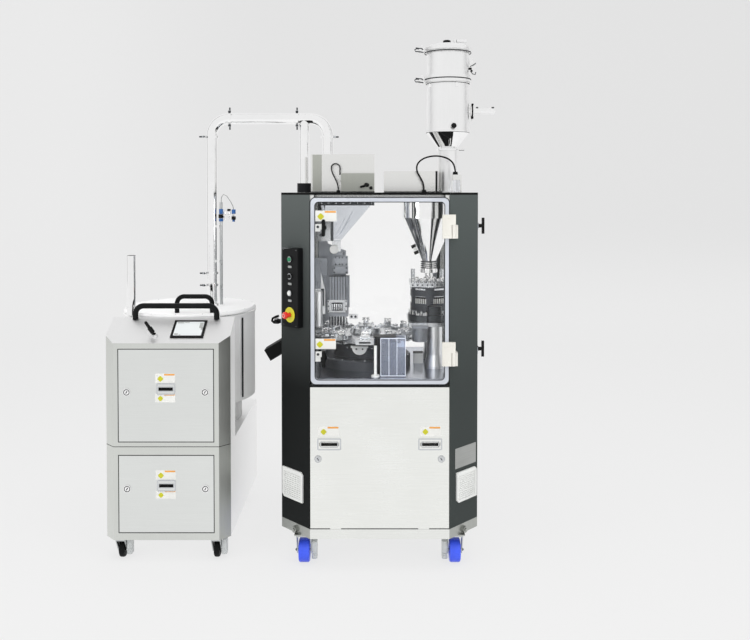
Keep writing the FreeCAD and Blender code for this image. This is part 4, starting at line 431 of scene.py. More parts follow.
# Doors and windows: the glass, and on the front door the latches' black discs and white strikes and the
# hinges' cream leaves.
coat("rear_window", band_paint, [(door_glass, (-9, 892, 1400), (9, 896, 1500))])
coat("front_door", band_paint, [
    (door_glass, (-9, 5, 1400), (9, 7, 1500)),
    (gloss_black, (-294, -3, 1000), (-280, 0, 1900)),
    (white_plastic, (-325, -3, 1000), (-311, 0, 1900)),
    (cream_paint, (330, -30, 1000), (400, 0, 1900))])
coat("right_door", band_paint, [(door_glass, (517, 400, 1400), (520, 500, 1500))])
coat("left_door", band_paint, [(door_glass, (-520, 400, 1400), (-517, 500, 1700))])

# The turret's housing: the white post, block and guard, and the dark post.
coat("turret_housing", dark_casting, [
    (white_plastic, (-50, 50, 1000), (-17, 100, 1100)),
    (white_plastic, (190, 400, 980), (250, 450, 1040)),
    (white_plastic, (-160, 220, 1080), (-60, 270, 1140)),
    (black_plastic, (-20, 110, 1000), (0, 145, 1200))])

# The dosing station: dark powder bowl, bright plate and guide rods, grey motor, and the tamping head's
# bright crosshead and foot.
coat("dosing_frame", satin_steel, [
    (dark_steel, (150, 250, 1262), (400, 610, 1290)),
    (machined_steel, (150, 250, 1230), (400, 610, 1260)),
    (machined_steel, (180, 540, 1300), (380, 570, 1500)),
    (cast_grey, (170, 200, 1100), (270, 300, 1250))])
coat("tamping_head", dark_casting, faces=[
    (machined_steel, (150, 300, 1443.5), (400, 600, 1480)),
    (machined_steel, (150, 300, 1280), (400, 600, 1309.5))])

# The capsule feeder: its satin cheek, bright drive box, comb and collar, and the magazine's dark ribs and
# bright foot.
coat("capsule_feeder", cast_grey, [
    (satin_steel, (-370, 290, 1290), (-290, 330, 1610)),
    (machined_steel, (-370, 300, 1700), (-260, 430, 1820)),
    (machined_steel, (-280, 360, 1210), (-180, 420, 1280)),
    (machined_steel, (-280, 360, 1640), (-200, 430, 1700))])
coat("capsule_magazine", cast_grey, [
    (dark_casting, (-290, 380, 1380), (-180, 410, 1490)),
    (machined_steel, (-290, 350, 1300), (-180, 420, 1370))])

# The loader: a polished cone, a black cap and a dark seal.
coat("loader_vessel", vessel_steel, faces=[(polished_steel, (250, 280, 2195), (530, 580, 2304))])
coat("loader_head", vessel_steel, [
    (gloss_black, (360, 380, 2806), (396, 420, 2822)),
    (seal_rubber, (380, 420, 2605.5), (392, 440, 2606.5))])

# The roof: the small box, grey with a painted dark reflection, both glands, the air filter's clear bowl and
# black knob, and the white socket.
coat("roof_boxes", top_steel, [
    (painted_reflection_grey, (-213, 340, 1970), (-28, 415, 2077)),
    (gloss_black, (230, 280, 1960), (260, 320, 1990)),
    (gloss_black, (-240, 360, 1960), (-220, 390, 1990)),
    (hopper_acrylic, (400, 280, 1990), (445, 320, 2040)),
    (gloss_black, (400, 280, 2068), (440, 320, 2090)),
    (white_plastic, (-235, 360, 2030), (-210, 395, 2070))])

# The dust unit: the grey air line, the front and left chamfer alike in the front's painted grey, the right
# chamfer darker with painted shade, and the lid's black loop.
coat("dust_pipe", polished_steel, [(fork_steel, (180, 554, 1500), (198, 572, 1700))], spot=on_unit)
coat("aux_base", side_steel, faces=[
    (unit_steel, (-400, -2, 100), (312, 1, 1200)),
    (painted_shade_chamfer_steel, (282, 2, 130), (332, 51, 622)),
    (unit_steel, (-332, 2, 130), (-282, 51, 622))], spot=on_unit)
coat("aux_console", side_steel, faces=[
    (unit_steel, (-400, -2, 500), (312, 1, 1300)),
    (painted_shade_chamfer_steel, (282, 2, 624), (332, 51, 1200)),
    (unit_steel, (-332, 2, 624), (-282, 51, 1200))], spot=on_unit)
coat("drum_lid", drum_steel, [(black_plastic, (-30, 270, 1300), (210, 320, 1400))], spot=on_unit)


# ---------------------------------------------------------------- shapes for the trim

def axes_of(facing):
    """The way something faces and two directions across it: the first as level as can be."""
    facing = Vector(facing).normalized()
    start = Vector((0, 0, 1)) if abs(facing.z) < 0.9 else Vector((0, 1, 0))
    level = start.cross(facing).normalized()
    return facing, level, facing.cross(level).normalized()


def circle(middle, level, rise, radius, sides):
    """Points round a middle."""
    turns = [2 * math.pi * i / sides for i in range(sides)]
    return [middle + (level * math.cos(turn) + rise * math.sin(turn)) * radius for turn in turns]


def rounded(middle, level, rise, wide, high, bend, steps):
    """Points of a rectangle with rounded corners, about a middle."""
    points = []
    for quarter, (a, b) in enumerate(((1, 1), (-1, 1), (-1, -1), (1, -1))):
        for step in range(steps + 1):
            angle = math.pi / 2 * (quarter + step / steps)
            points.append(middle + level * (a * (wide / 2 - bend) + bend * math.cos(angle))
                          + rise * (b * (high / 2 - bend) + bend * math.sin(angle)))
    return points


class Form:
    """Gathers small solids, in the millimetres of the machine or the unit, in one mesh."""

    def __init__(self, spot=on_machine):
        self.work = bmesh.new()
        self.spot = spot

    def loft(self, loops, closed=False):
        """Skins loops of points one after another. An open row gets a cap at each end."""
        rows = [[self.work.verts.new(self.spot(*point)) for point in loop] for loop in loops]
        pairs = list(zip(rows, rows[1:])) + ([(rows[-1], rows[0])] if closed else [])
        made = []
        for first, second in pairs:
            for i in range(len(first)):
                j = (i + 1) % len(first)
                made.append(self.work.faces.new((first[i], first[j], second[j], second[i])))
        if not closed:
            made.append(self.work.faces.new(rows[0][::-1]))
            made.append(self.work.faces.new(rows[-1]))
        bmesh.ops.recalc_face_normals(self.work, faces=made)

    def lathe(self, start, facing, profile, sides=24, closed=False):
        """Turns (radius, height) points about an axis from a point. Closed makes a ring."""
        way, level, rise = axes_of(facing)
        start = Vector(start)
        self.loft([circle(start + way * height, level, rise, radius, sides) for radius, height in profile],
                  closed)

    def rod(self, start, facing, radius, length, edge=0.6, sides=20):
        """A round bar with eased ends."""
        self.lathe(start, facing, [(radius - edge, 0), (radius, edge), (radius, length - edge),
                                   (radius - edge, length)], sides=sides)

    def hoop(self, start, facing, radius, wall, length, sides=28):
        """A ring with eased outer edges."""
        inner, edge = radius - wall, min(wall, length) * 0.2
        self.lathe(start, facing, [(inner, 0), (radius - edge, 0), (radius, edge), (radius, length - edge),
                                   (radius - edge, length), (inner, length)], sides=sides, closed=True)

    def plate(self, back, facing, wide, high, thick, corner=2.0, edge=0.5, turn=0.0, steps=3):
        """A plate with rounded corners, standing out from the middle of its back."""
        way, level, rise = axes_of(facing)
        if turn:
            spin = Matrix.Rotation(math.radians(turn), 3, way)
            level, rise = spin @ level, spin @ rise
        back = Vector(back)
        self.loft([rounded(back + way * out, level, rise, wide - 2 * inset, high - 2 * inset,
                           max(corner - inset, 0.05), steps)
                   for inset, out in ((0, 0), (0, thick - edge), (edge, thick))])

    def band(self, back, facing, wide, high, thick, width, corner):
        """A flat frame with rounded corners: a seal or a bezel."""
        way, level, rise = axes_of(facing)
        back = Vector(back)
        self.loft([rounded(back + way * out, level, rise, wide - 2 * inset, high - 2 * inset,
                           max(corner - inset, 0.5), 6)
                   for inset, out in ((0, 0), (0, thick), (width, thick), (width, 0))], True)

    def box(self, xs, ys, zs, edge=0.8):
        """A block with eased edges between pairs of limits."""
        middle_x, middle_y = (xs[0] + xs[1]) / 2, (ys[0] + ys[1]) / 2
        size_x, size_y, size_z = xs[1] - xs[0], ys[1] - ys[0], zs[1] - zs[0]
        edge = min(edge, min(size_x, size_y, size_z) * 0.3)
        loops = []
        for height, inset in ((zs[0], edge), (zs[0] + edge, 0), (zs[1] - edge, 0), (zs[1], edge)):
            half_x, half_y = size_x / 2 - inset, size_y / 2 - inset
            corners = [(half_x, half_y - edge), (half_x - edge, half_y), (edge - half_x, half_y),
                       (-half_x, half_y - edge), (-half_x, edge - half_y), (edge - half_x, -half_y),
                       (half_x - edge, -half_y), (half_x, edge - half_y)]
            loops.append([(middle_x + a, middle_y + b, height) for a, b in corners])
        self.loft(loops)

    def sweep(self, points, radius, sides=12):
        """A round bar along a path."""
        points = [Vector(point) for point in points]
        loops = []
        level = None
        for i, point in enumerate(points):
            way = (points[min(i + 1, len(points) - 1)] - points[max(i - 1, 0)]).normalized()
            if level is None:
                level = axes_of(way)[1]
            level = (level - way * level.dot(way)).normalized()
            loops.append(circle(point, level, way.cross(level), radius, sides))
        self.loft(loops)

    def mesh(self, name):
        """Ends the work and hands over what was gathered."""
        mesh = bpy.data.meshes.new(name)
        self.work.to_mesh(mesh)
        self.work.free()
        mesh.shade_smooth()
        return mesh

    def done(self, name, finish, body="cabinets", slot="stainless"):
        """Makes the piece, with its finish, riding on a body."""
        piece_of(self.mesh(name), name, finish, body)


CREASE = math.radians(32)


def piece_of(mesh, name, finish, body):
    """Shows a mesh as a piece with its finish, riding on a body."""
    mesh.set_sharp_from_angle(angle=CREASE)
    mesh.materials.clear()
    mesh.materials.append(finish)
    made = bpy.data.objects.new(name, mesh)
    bpy.context.collection.objects.link(made)
    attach(made, body)


def set_out_group():
    """Nodes that stand a copy of a part at every point, each facing its own way at its own size."""
    tree = bpy.data.node_groups.new("set_out", "GeometryNodeTree")
    face = tree.interface
    for name, kind in (("Points", "Geometry"), ("Part", "Object"), ("Finish", "Material"),
                       ("Scale", "Float")):
        face.new_socket(name, in_out="INPUT", socket_type="NodeSocket" + kind)
    face.new_socket("Parts", in_out="OUTPUT", socket_type="NodeSocketGeometry")
    given = tree.nodes.new("NodeGroupInput")
    part = add(tree, "GeometryNodeObjectInfo", {"Object": (given, "Part")})
    way = add(tree, "GeometryNodeInputNamedAttribute", {"Name": "facing"}, data_type="FLOAT_VECTOR")
    size = add(tree, "GeometryNodeInputNamedAttribute", {"Name": "size"}, data_type="FLOAT")
    turn = add(tree, "FunctionNodeAlignEulerToVector", {"Vector": (way, "Attribute")}, axis="Z")
    scale = add(tree, "ShaderNodeMath", {0: (size, "Attribute"), 1: (given, "Scale")}, operation="MULTIPLY")
    stand = add(tree, "GeometryNodeInstanceOnPoints", {
        "Points": (given, "Points"), "Instance": (part, "Geometry"), "Rotation": (turn, "Rotation"),
        "Scale": (scale, "Value")})
    real = add(tree, "GeometryNodeRealizeInstances", {"Geometry": (stand, "Instances")})
    clad = add(tree, "GeometryNodeSetMaterial", {"Geometry": (real, "Geometry"),
                                                 "Material": (given, "Finish")})
    out = tree.nodes.new("NodeGroupOutput")
    tree.links.new(clad.outputs["Geometry"], out.inputs["Parts"])
    return tree


SET_OUT = set_out_group()


def set_out(name, part, places, finish, spot=on_machine, body="cabinets"):
    """Copies of a part at places, each (point, way it faces, size), as one piece on a body."""
    points = bpy.data.meshes.new(name + "_points")
    points.from_pydata([spot(*place[0]) for place in places], [], [])
    points.attributes.new("facing", "FLOAT_VECTOR", "POINT")
    points.attributes.new("size", "FLOAT", "POINT")
    for i, (_, facing, size) in enumerate(places):
        points.attributes["facing"].data[i].vector = facing
        points.attributes["size"].data[i].value = size
    host = bpy.data.objects.new(name + "_host", points)
    bpy.context.collection.objects.link(host)
    nodes = host.modifiers.new("set_out", "NODES")
    nodes.node_group = SET_OUT
    sockets = {item.name: item.identifier for item in SET_OUT.interface.items_tree if item.in_out == "INPUT"}
    nodes[sockets["Part"]] = part
    nodes[sockets["Finish"]] = finish
    nodes[sockets["Scale"]] = 1.0
    mesh = bpy.data.meshes.new_from_object(host.evaluated_get(bpy.context.evaluated_depsgraph_get()))
    mesh.name = name
    bpy.data.objects.remove(host)
    piece_of(mesh, name, finish, body)


def part_of(name, profile, sides, closed=False):
    """A turned part to copy, from (radius, height) points in millimetres: about the origin, facing up."""
    form = Form(lambda x, y, z: Vector((x, y, z)) * MM)
    form.lathe((0, 0, 0), TOP, profile, sides=sides, closed=closed)
    return bpy.data.objects.new(name, form.mesh(name))


FRONT, RIGHT, TOP = (0, -1, 0), (1, 0, 0), (0, 0, 1)
LEFT_CORNER, RIGHT_CORNER = (-1, -1, 0), (1, -1, 0)

# A socket cap screw, a low domed screw, a nut on the end of its bolt, and a slim guide pin with a round tip.
CAP_SCREW = part_of("cap_screw", [(4.6, 0), (5, 0.4), (5, 4.4), (4.5, 5), (2.9, 5), (2.9, 2.4),
                                  (0.2, 2.2)], 18)
DOME_SCREW = part_of("dome_screw", [(5, 0), (4.8, 0.9), (3.8, 1.9), (2, 2.4), (1.9, 1.2), (0.2, 1.1)], 16)
HEX_NUT = part_of("hex_nut", [(5.6, 0), (5.8, 0.3), (5.8, 3.9), (5.2, 4.4), (3.1, 4.4), (3.1, 6), (2.6, 6.6),
                              (0.2, 6.6)], 6)
WHITE_PIN = part_of("white_pin", [(2.6, 0), (3, 0.5), (3, 27), (2, 29.4), (0.2, 30)], 12)


# ---------------------------------------------------------------- doors, panels and labels

DOOR_MIDDLE = 1462
STRIKE_X, STRIKE_HEIGHTS = -314, (1794, 1137)
HINGE_HEIGHTS = (1078, 1735)
PULL_X, PULL_HEIGHT = 261, 670
LOCK_X, LOCK_HEIGHT = 319, 593
GRILLE_X, GRILLE_Y, GRILLE_HEIGHT = 456.4, 95.4, 428
NAME_PLATE = Vector((453.7, 92.7, 581))
CONTROL_BOX = Vector((-443, 82, 0))
BOX_FACE = 35
BUTTON_HEIGHTS, STOP_HEIGHT = (1622, 1533, 1445), 1332
OUT_LEFT = Vector((-1, -1, 0)).normalized()
OUT_RIGHT = Vector((1, -1, 0)).normalized()


def high_up(z):
    """A step straight up."""
    return Vector((0, 0, z))


def label_set(name, body, places, spot=on_machine):
    """Blank white labels with a plain yellow mark and an orange bar: (x, y, z, wide, high) of each middle."""
    paper, mark, bar = Form(spot), Form(spot), Form(spot)
    for x, y, z, wide, high in places:
        paper.plate((x, y, z), FRONT, wide=wide, high=high, thick=0.5, corner=1.5, edge=0.15)
        mark.plate((x - wide * 0.24, y - 0.5, z - high * 0.06), FRONT, wide=high * 0.5, high=high * 0.5,
                   thick=0.4, corner=high * 0.12, edge=0.1, turn=45)
        bar.plate((x + wide * 0.21, y - 0.5, z + high * 0.38), FRONT, wide=wide * 0.52, high=high * 0.17,
                  thick=0.4, corner=0.8, edge=0.1)
    for form, ending, finish in ((paper, "_paper", label_white), (mark, "_mark", label_yellow),
                                 (bar, "_bar", label_orange)):
        form.done(name + ending, finish, body, "white_plastic")


def door_trim():
    """The front door's two seals, its thick strikes with their screws, and its labels."""
    seal, strike = Form(), Form()
    seal.band((0, 0, DOOR_MIDDLE), FRONT, wide=720, high=970, thick=1.2, width=4, corner=30)
    seal.band((0, 0, DOOR_MIDDLE), FRONT, wide=672, high=922, thick=1.0, width=4, corner=22)
    seal.done("door_seals", seal_rubber, "front_door", "black_plastic")
    label_set("door_labels", "front_door", [(-277, 1.8, 1850, 110, 55), (-282, 1.8, 1190, 112, 54)])
    for z in STRIKE_HEIGHTS:
        strike.plate((STRIKE_X, 1.9, z), FRONT, wide=33, high=28, thick=9, corner=2)
    strike.done("latch_brackets", white_plastic, "front_door", "white_plastic")
    set_out("latch_bracket_screws", DOME_SCREW, [((STRIKE_X - 4, -7, z), FRONT, 1.4) for z in STRIKE_HEIGHTS],
            dark_steel, body="front_door")


def hinge_trim():
    """Domed screws in the front door's cream hinge leaves, coated with them."""
    places = [((x, -22, z + rise), FRONT, 0.8)
              for z in HINGE_HEIGHTS for rise in (20, 102) for x in (334, 352)]
    set_out("hinge_screws", DOME_SCREW, places, cream_paint, body="front_door")


def panel_trim():
    """The lower panel: painted shadows in the pulls, their bright bezels, locks, labels, and the gap round
    it.
    """
    shadows, bezels, cores, slits, gap = Form(), Form(), Form(), Form(), Form()
    for x in (-PULL_X, PULL_X):
        shadows.plate((x, 18, PULL_HEIGHT - 9.5), FRONT, wide=84, high=8, thick=12, corner=2)
        for side in (-40.5, 40.5):
            shadows.plate((x + side, 18, PULL_HEIGHT - 3), FRONT, wide=3, high=14, thick=12, corner=1)
        bezels.band((x, 0, PULL_HEIGHT), FRONT, wide=124, high=62, thick=3.6, width=7, corner=7)
        bezels.band((x, -0.4, PULL_HEIGHT - 1), FRONT, wide=92, high=31, thick=2.6, width=4, corner=5)
    for x in (-LOCK_X, LOCK_X):
        cores.lathe((x, -4, LOCK_HEIGHT), FRONT, [(13.5, 0), (13.5, 0.8), (12.5, 1.4), (0.2, 1.4)])
        cores.hoop((x, -0.4, LOCK_HEIGHT), FRONT, radius=19, wall=3, length=3)
        slits.plate((x, -4.6, LOCK_HEIGHT), FRONT, wide=4, high=15, thick=1.2, corner=1, edge=0.2, turn=35)
        slits.hoop((x, -0.6, LOCK_HEIGHT), FRONT, radius=16, wall=2.5, length=3)
    shadows.done("pull_shadows", black_paint, "lower_panel", "black_plastic")
    bezels.done("pull_bezels", machined_steel, "lower_panel", "bright_steel")
    cores.done("panel_locks", machined_steel, "lower_panel", "bright_steel")
    slits.done("panel_lock_slits", seal_rubber, "lower_panel", "black_plastic")
    label_set("panel_labels", "lower_panel", [(-264, -0.2, 737, 108, 50), (262, -0.2, 737, 108, 50)])
    gap.box((-359, 359), (1.0, 6.0), (966.6, 974), edge=0.3)
    gap.box((-360, 360), (2.5, 6.0), (226.5, 230.5), edge=0.3)
    gap.done("panel_gap_lines", seal_rubber, "cabinets", "black_plastic")


def corner_plate():
    """The blank brushed name plate on the right corner, with its four rivets."""
    plate = Form()
    plate.plate(NAME_PLATE, RIGHT_CORNER, wide=173, high=107, thick=1.6, corner=4)
    plate.done("name_plate", name_plate_steel, "cabinets", "stainless")
    across = Vector((1, 1, 0)).normalized()
    places = [(tuple(NAME_PLATE + OUT_RIGHT * 1.6 + across * aside + high_up(rise)), RIGHT_CORNER, 0.55)
              for aside in (-78, 78) for rise in (-45, 45)]
    set_out("name_plate_rivets", DOME_SCREW, places, machined_steel)


def vent_trim():
    """The pale louvre blades that stand behind the grilles' slots."""
    blades = Form()
    for side, facing in ((-1, LEFT_CORNER), (1, RIGHT_CORNER)):
        blades.plate((side * GRILLE_X, GRILLE_Y, GRILLE_HEIGHT), facing, wide=138, high=131, thick=5.6,
                     corner=3)
    blades.done("vent_blades", white_plastic, "cabinets", "white_plastic")


def control_trim():
    """The control box: rings and pale legends of its buttons, the stop's disc, the top rim and the screws."""
    face = CONTROL_BOX + OUT_LEFT * BOX_FACE
    rings, legends, disc, rim, twist = Form(), Form(), Form(), Form(), Form()
    for z in BUTTON_HEIGHTS:
        rings.hoop(face + high_up(z), LEFT_CORNER, radius=15.5, wall=3.6, length=6)
        legends.plate(face + OUT_LEFT * 1.4 + high_up(z - 39), LEFT_CORNER, wide=30, high=12, thick=0.5,
                      corner=5.5, edge=0.1)
    disc.hoop(face + high_up(STOP_HEIGHT) + OUT_LEFT * 1.9, LEFT_CORNER, radius=40, wall=27.5, length=0.8,
              sides=40)
    rim.plate(CONTROL_BOX + OUT_LEFT * 17 + high_up(1682), TOP, wide=124, high=34, thick=1.2, corner=3,
              edge=0.3, turn=45)
    twist.hoop(face + OUT_LEFT * 44.8 + high_up(STOP_HEIGHT), LEFT_CORNER, radius=10, wall=2, length=0.7)
    rings.done("button_rings", machined_steel, "cabinets", "bright_steel")
    legends.done("button_legends", label_grey, "cabinets", "white_plastic")
    disc.done("stop_disc", yellow_disc, "cabinets", "white_plastic")
    places = [(tuple(face + OUT_RIGHT * aside + high_up(z)), LEFT_CORNER, 0.9)
              for aside in (-51.5, 51.5) for z in (1278, 1671)]
    set_out("control_box_screws", DOME_SCREW, places, machined_steel)
    rim.done("control_box_top_rim", machined_steel, "cabinets", "bright_steel")
    twist.done("stop_twist_ring", label_white, "estop_button", "red_plastic")


door_trim()
hinge_trim()
panel_trim()
corner_plate()
vent_trim()
control_trim()


# ---------------------------------------------------------------- dust unit

# Each of the unit's doors: its bottom, its top and its pull's height.
UNIT_DOORS = {"aux_upper_door": (650, 1141, 931), "aux_lower_door": (165, 576, 416)}
UNIT_LOCK_X, UNIT_LOCK_DROP = 207.5, 17
UNIT_SEAM = 623
CONSOLE_SLOPE, CONSOLE_EDGE = math.radians(30.7), 1174
SWITCH = (-72, 60)
DRUM_Y, DRUM_SEAM_TURN, DRUM_SEAM_RADIUS = 593, math.radians(-28.3), 385.4
DRUM_SEAM_ENDS = (784, 1246)
AIR_LINE_X, VALVE_X, AIR_LINE_Y = 189, 264, 563


def unit_trim():
    """The unit's door shadows, pulls, locks and labels, and the seam between its two cabinets."""
    gaps = Form(on_unit)
    for body, (low, high, pull) in UNIT_DOORS.items():
        lock = pull - UNIT_LOCK_DROP
        gaps.band((0, 0.2, (low + high) / 2), FRONT, wide=510, high=high - low + 7, thick=0.9, width=4.2,
                  corner=2)
        slot, bezel, core, slit = (Form(on_unit) for _ in range(4))
        # Painted shadow: a dark plate deep in each pull's cup.
        slot.plate((0, 16, pull), FRONT, wide=76, high=20, thick=14, corner=4)
        bezel.band((0, 0, pull), FRONT, wide=99, high=60, thick=4, width=6, corner=9)
        bezel.band((0, -0.4, pull), FRONT, wide=84, high=28, thick=3.4, width=4, corner=6)
        for x in (-UNIT_LOCK_X, UNIT_LOCK_X):
            core.hoop((x, -0.5, lock), FRONT, radius=20, wall=3.4, length=4.5)
            core.lathe((x, -3.5, lock), FRONT, [(12.5, 0), (12.5, 1), (11.5, 1.6), (0.2, 1.6)])
            slit.plate((x, -4.4, lock), FRONT, wide=5, high=15, thick=1.4, corner=1, edge=0.2, turn=-30)
            slit.hoop((x, -0.8, lock), FRONT, radius=16.6, wall=4.1, length=3.8)
        slot.done(body + "_pull_shadow", black_paint, body, "black_plastic")
        bezel.done(body + "_bezel", machined_steel, body, "bright_steel")
        core.done(body + "_locks", polished_steel, body, "bright_steel")
        slit.done(body + "_lock_slits", seal_rubber, body, "black_plastic")
        labels = [(-3, -0.2, pull + 57, 107, 50), (-3, -0.2, pull - 48, 107, 46)]
        label_set(body + "_labels", body, labels, on_unit)
    gaps.sweep([(x, y, UNIT_SEAM) for x, y in ((-332, 53), (-279.6, 0), (279.6, 0), (332, 53))], radius=1.7)
    gaps.done("unit_gap_lines", seal_rubber, "cabinets", "black_plastic")


def console_trim():
    """The screen's light picture with its grey keys, and the screws in the lever switch's collar."""
    up = Vector((0, math.cos(CONSOLE_SLOPE), math.sin(CONSOLE_SLOPE)))
    out = Vector((0, -math.sin(CONSOLE_SLOPE), math.cos(CONSOLE_SLOPE)))

    def on_slope(x, along, over):
        """A point of the sloping console: aside, up the slope, and over its sheet."""
        return tuple(Vector((x, 0, CONSOLE_EDGE)) + up * along + out * over)

    picture, keys = Form(on_unit), Form(on_unit)
    picture.plate(on_slope(102, 112, 5.6), out, wide=150, high=113, thick=0.6, corner=4, edge=0.2)
    for x, along, wide, high in ((50, 160, 36, 9), (84, 162, 26, 6), (165, 138, 18, 44), (172, 112, 10, 22),
                                 (42, 66, 20, 12), (62, 60, 10, 6)):
        keys.plate(on_slope(x, along, 6.2), out, wide=wide, high=high, thick=0.4, corner=1.5, edge=0.1)
    picture.done("screen_picture", screen_glass, "cabinets", "white_plastic")
    keys.done("screen_keys", label_grey, "cabinets", "white_plastic")
    places = [(on_slope(SWITCH[0] + aside, SWITCH[1] + along, 5.2), tuple(out), 0.5)
              for aside, along in ((14.5, 0), (-14.5, 0), (0, 14.5), (0, -14.5))]
    set_out("switch_collar_screws", DOME_SCREW, places, machined_steel, on_unit)


def drum_trim():
    """The drum's dark welded seam, and its lid's rolled edge and screws."""
    seam, hoop = Form(on_unit), Form(on_unit)
    way = (math.cos(DRUM_SEAM_TURN), math.sin(DRUM_SEAM_TURN), 0)
    foot, top = DRUM_SEAM_ENDS
    seam.plate((DRUM_SEAM_RADIUS * way[0], DRUM_Y + DRUM_SEAM_RADIUS * way[1], (foot + top) / 2), way,
               wide=13, high=top - foot, thick=2, corner=3)
    hoop.hoop((0, DRUM_Y, 1268.6), TOP, radius=387, wall=5, length=5, sides=96)
    seam.done("drum_seam", seal_rubber, "cabinets", "black_plastic")
    hoop.done("lid_hoop", top_steel, "cabinets", "stainless")
    turns = [2 * math.pi * i / 16 for i in range(16)]
    set_out("lid_screws", DOME_SCREW, [((374 * math.cos(a), DRUM_Y + 374 * math.sin(a), 1291), TOP, 0.8)
                                       for a in turns], machined_steel, on_unit)


def pipe_trim():
    """Bolts and lugs of the pipe's clamps, and the collar of its branch."""
    bolts, lugs, collar = Form(on_unit), Form(on_unit), Form(on_unit)
    for z in (1410, 1482, 2294):
        lugs.box((76, 90), (556, 566), (z, z + 14))
        bolts.rod((86, 561, z + 7), (-1, -0.15, 0), radius=4.5, length=24)
        bolts.rod((92, 552, z + 7), (0.3, -1, 0), radius=5, length=9)
    for x, z, way in ((241, 2368, -1), (642, 2368, -1), (241, 2452, 1), (642, 2452, 1)):
        lugs.box((x - 6, x + 6), (570, 586), (z - 8, z + 8))
        bolts.rod((x, 578, z + way * 4), (0, 0, way), radius=4.5, length=20)
        bolts.rod((x - 8, 568, z), RIGHT, radius=5, length=16)
    lugs.box((862, 874), (570, 582), (2294, 2308))
    bolts.rod((868, 576, 2301), RIGHT, radius=4.5, length=22)
    collar.hoop((684, 593, 1970.4), TOP, radius=43.4, wall=2.2, length=55, sides=48)
    collar.done("branch_collar", seal_rubber, "cabinets", "black_plastic")
    bolts.done("clamp_bolts", dark_steel, "cabinets", "dark_steel")
    lugs.done("clamp_lugs", machined_steel, "cabinets", "bright_steel")


def air_line_trim():
    """Blue bodies and black knobs of the air line's valves, and the thin hose that joins them."""
    blue, black, hose = Form(on_unit), Form(on_unit), Form(on_unit)
    for form, x, z, radius, wall, long in (
            (blue, AIR_LINE_X, 1798, 13, 3.6, 18), (blue, AIR_LINE_X, 1842, 12, 2.6, 30),
            (blue, VALVE_X, 1843, 12, 2.6, 26), (blue, VALVE_X, 1796, 8, 3.6, 12),
            (black, AIR_LINE_X, 1818, 15.5, 6, 22), (black, VALVE_X, 1808, 13, 8.6, 20),
            (black, 236, 1860, 10.5, 1.2, 12)):
        form.hoop((x, AIR_LINE_Y, z), TOP, radius=radius, wall=wall, length=long)
    hose.sweep([(x, AIR_LINE_Y, z) for x, z in ((189, 1908), (192, 1942), (205, 1960), (224, 1948),
                                                (246, 1916), (260, 1888), (264, 1866))], radius=2.4)
    blue.done("air_valves_blue", blue_plastic, "cabinets", "black_plastic")
    black.done("air_valve_knobs", gloss_black, "cabinets", "black_plastic")
    hose.done("air_hose", label_grey, "cabinets", "white_plastic")


unit_trim()
console_trim()
drum_trim()
pipe_trim()
air_line_trim()


# ---------------------------------------------------------------- roof and loader

ROOF = 1970.6
# Each roof box on the roof: its left, right, front and back.
ROOF_BOXES = ((-387, -28, 430, 610), (-213, -28, 340, 415), (25, 311, 340, 480))
LOADER = Vector((386, 430, 0))


def roof_trim():
    """The boxes' gaskets, a strip of painted dark reflection down the large box's front, the right one's
    black end, glands and plugs.
    """
    dark, glands, front = Form(), Form(), Form()
    for left, right, near, far in ROOF_BOXES:
        dark.box((left + 2, right - 2), (near - 1.5, near + 4), (ROOF, 1976), edge=0.3)
        dark.box((right - 4, right + 1.2), (near, far), (ROOF, 1976), edge=0.3)
    dark.box((311.4, 323), (342, 372), (1976, 2089), edge=1)
    for x, y, radius, high in ((245, 300, 12, 15), (-230, 378, 10, 13)):
        glands.lathe((x, y, 1970.4), TOP, [(radius + 5, 0), (radius + 5, 3), (radius, 4), (radius, high - 3),
                                           (radius - 2, high), (6.6, high), (6.6, high - 4)])
    for place, way, radius, long in (((-66, 340, 2012), (-0.5, -1, 0.1), 11, 20),
                                     ((-66, 335, 2012), (-0.9, -0.35, -0.25), 6, 44),
                                     ((-48, 341, 1996), (0.1, -1, 0), 9, 12)):
        glands.rod(place, way, radius=radius, length=long)
    # Painted reflection: a grey strip down the large box's front where its sheet mirrors something dark.
    front.box((-378, -326), (428.6, 429.8), (1978, 2184), edge=0.4)
    dark.done("roof_box_gaskets", seal_rubber, "cabinets", "black_plastic")
    glands.done("cable_glands", gloss_black, "cabinets", "black_plastic")
    front.done("box_cheek", painted_reflection_grey, "cabinets", "stainless")


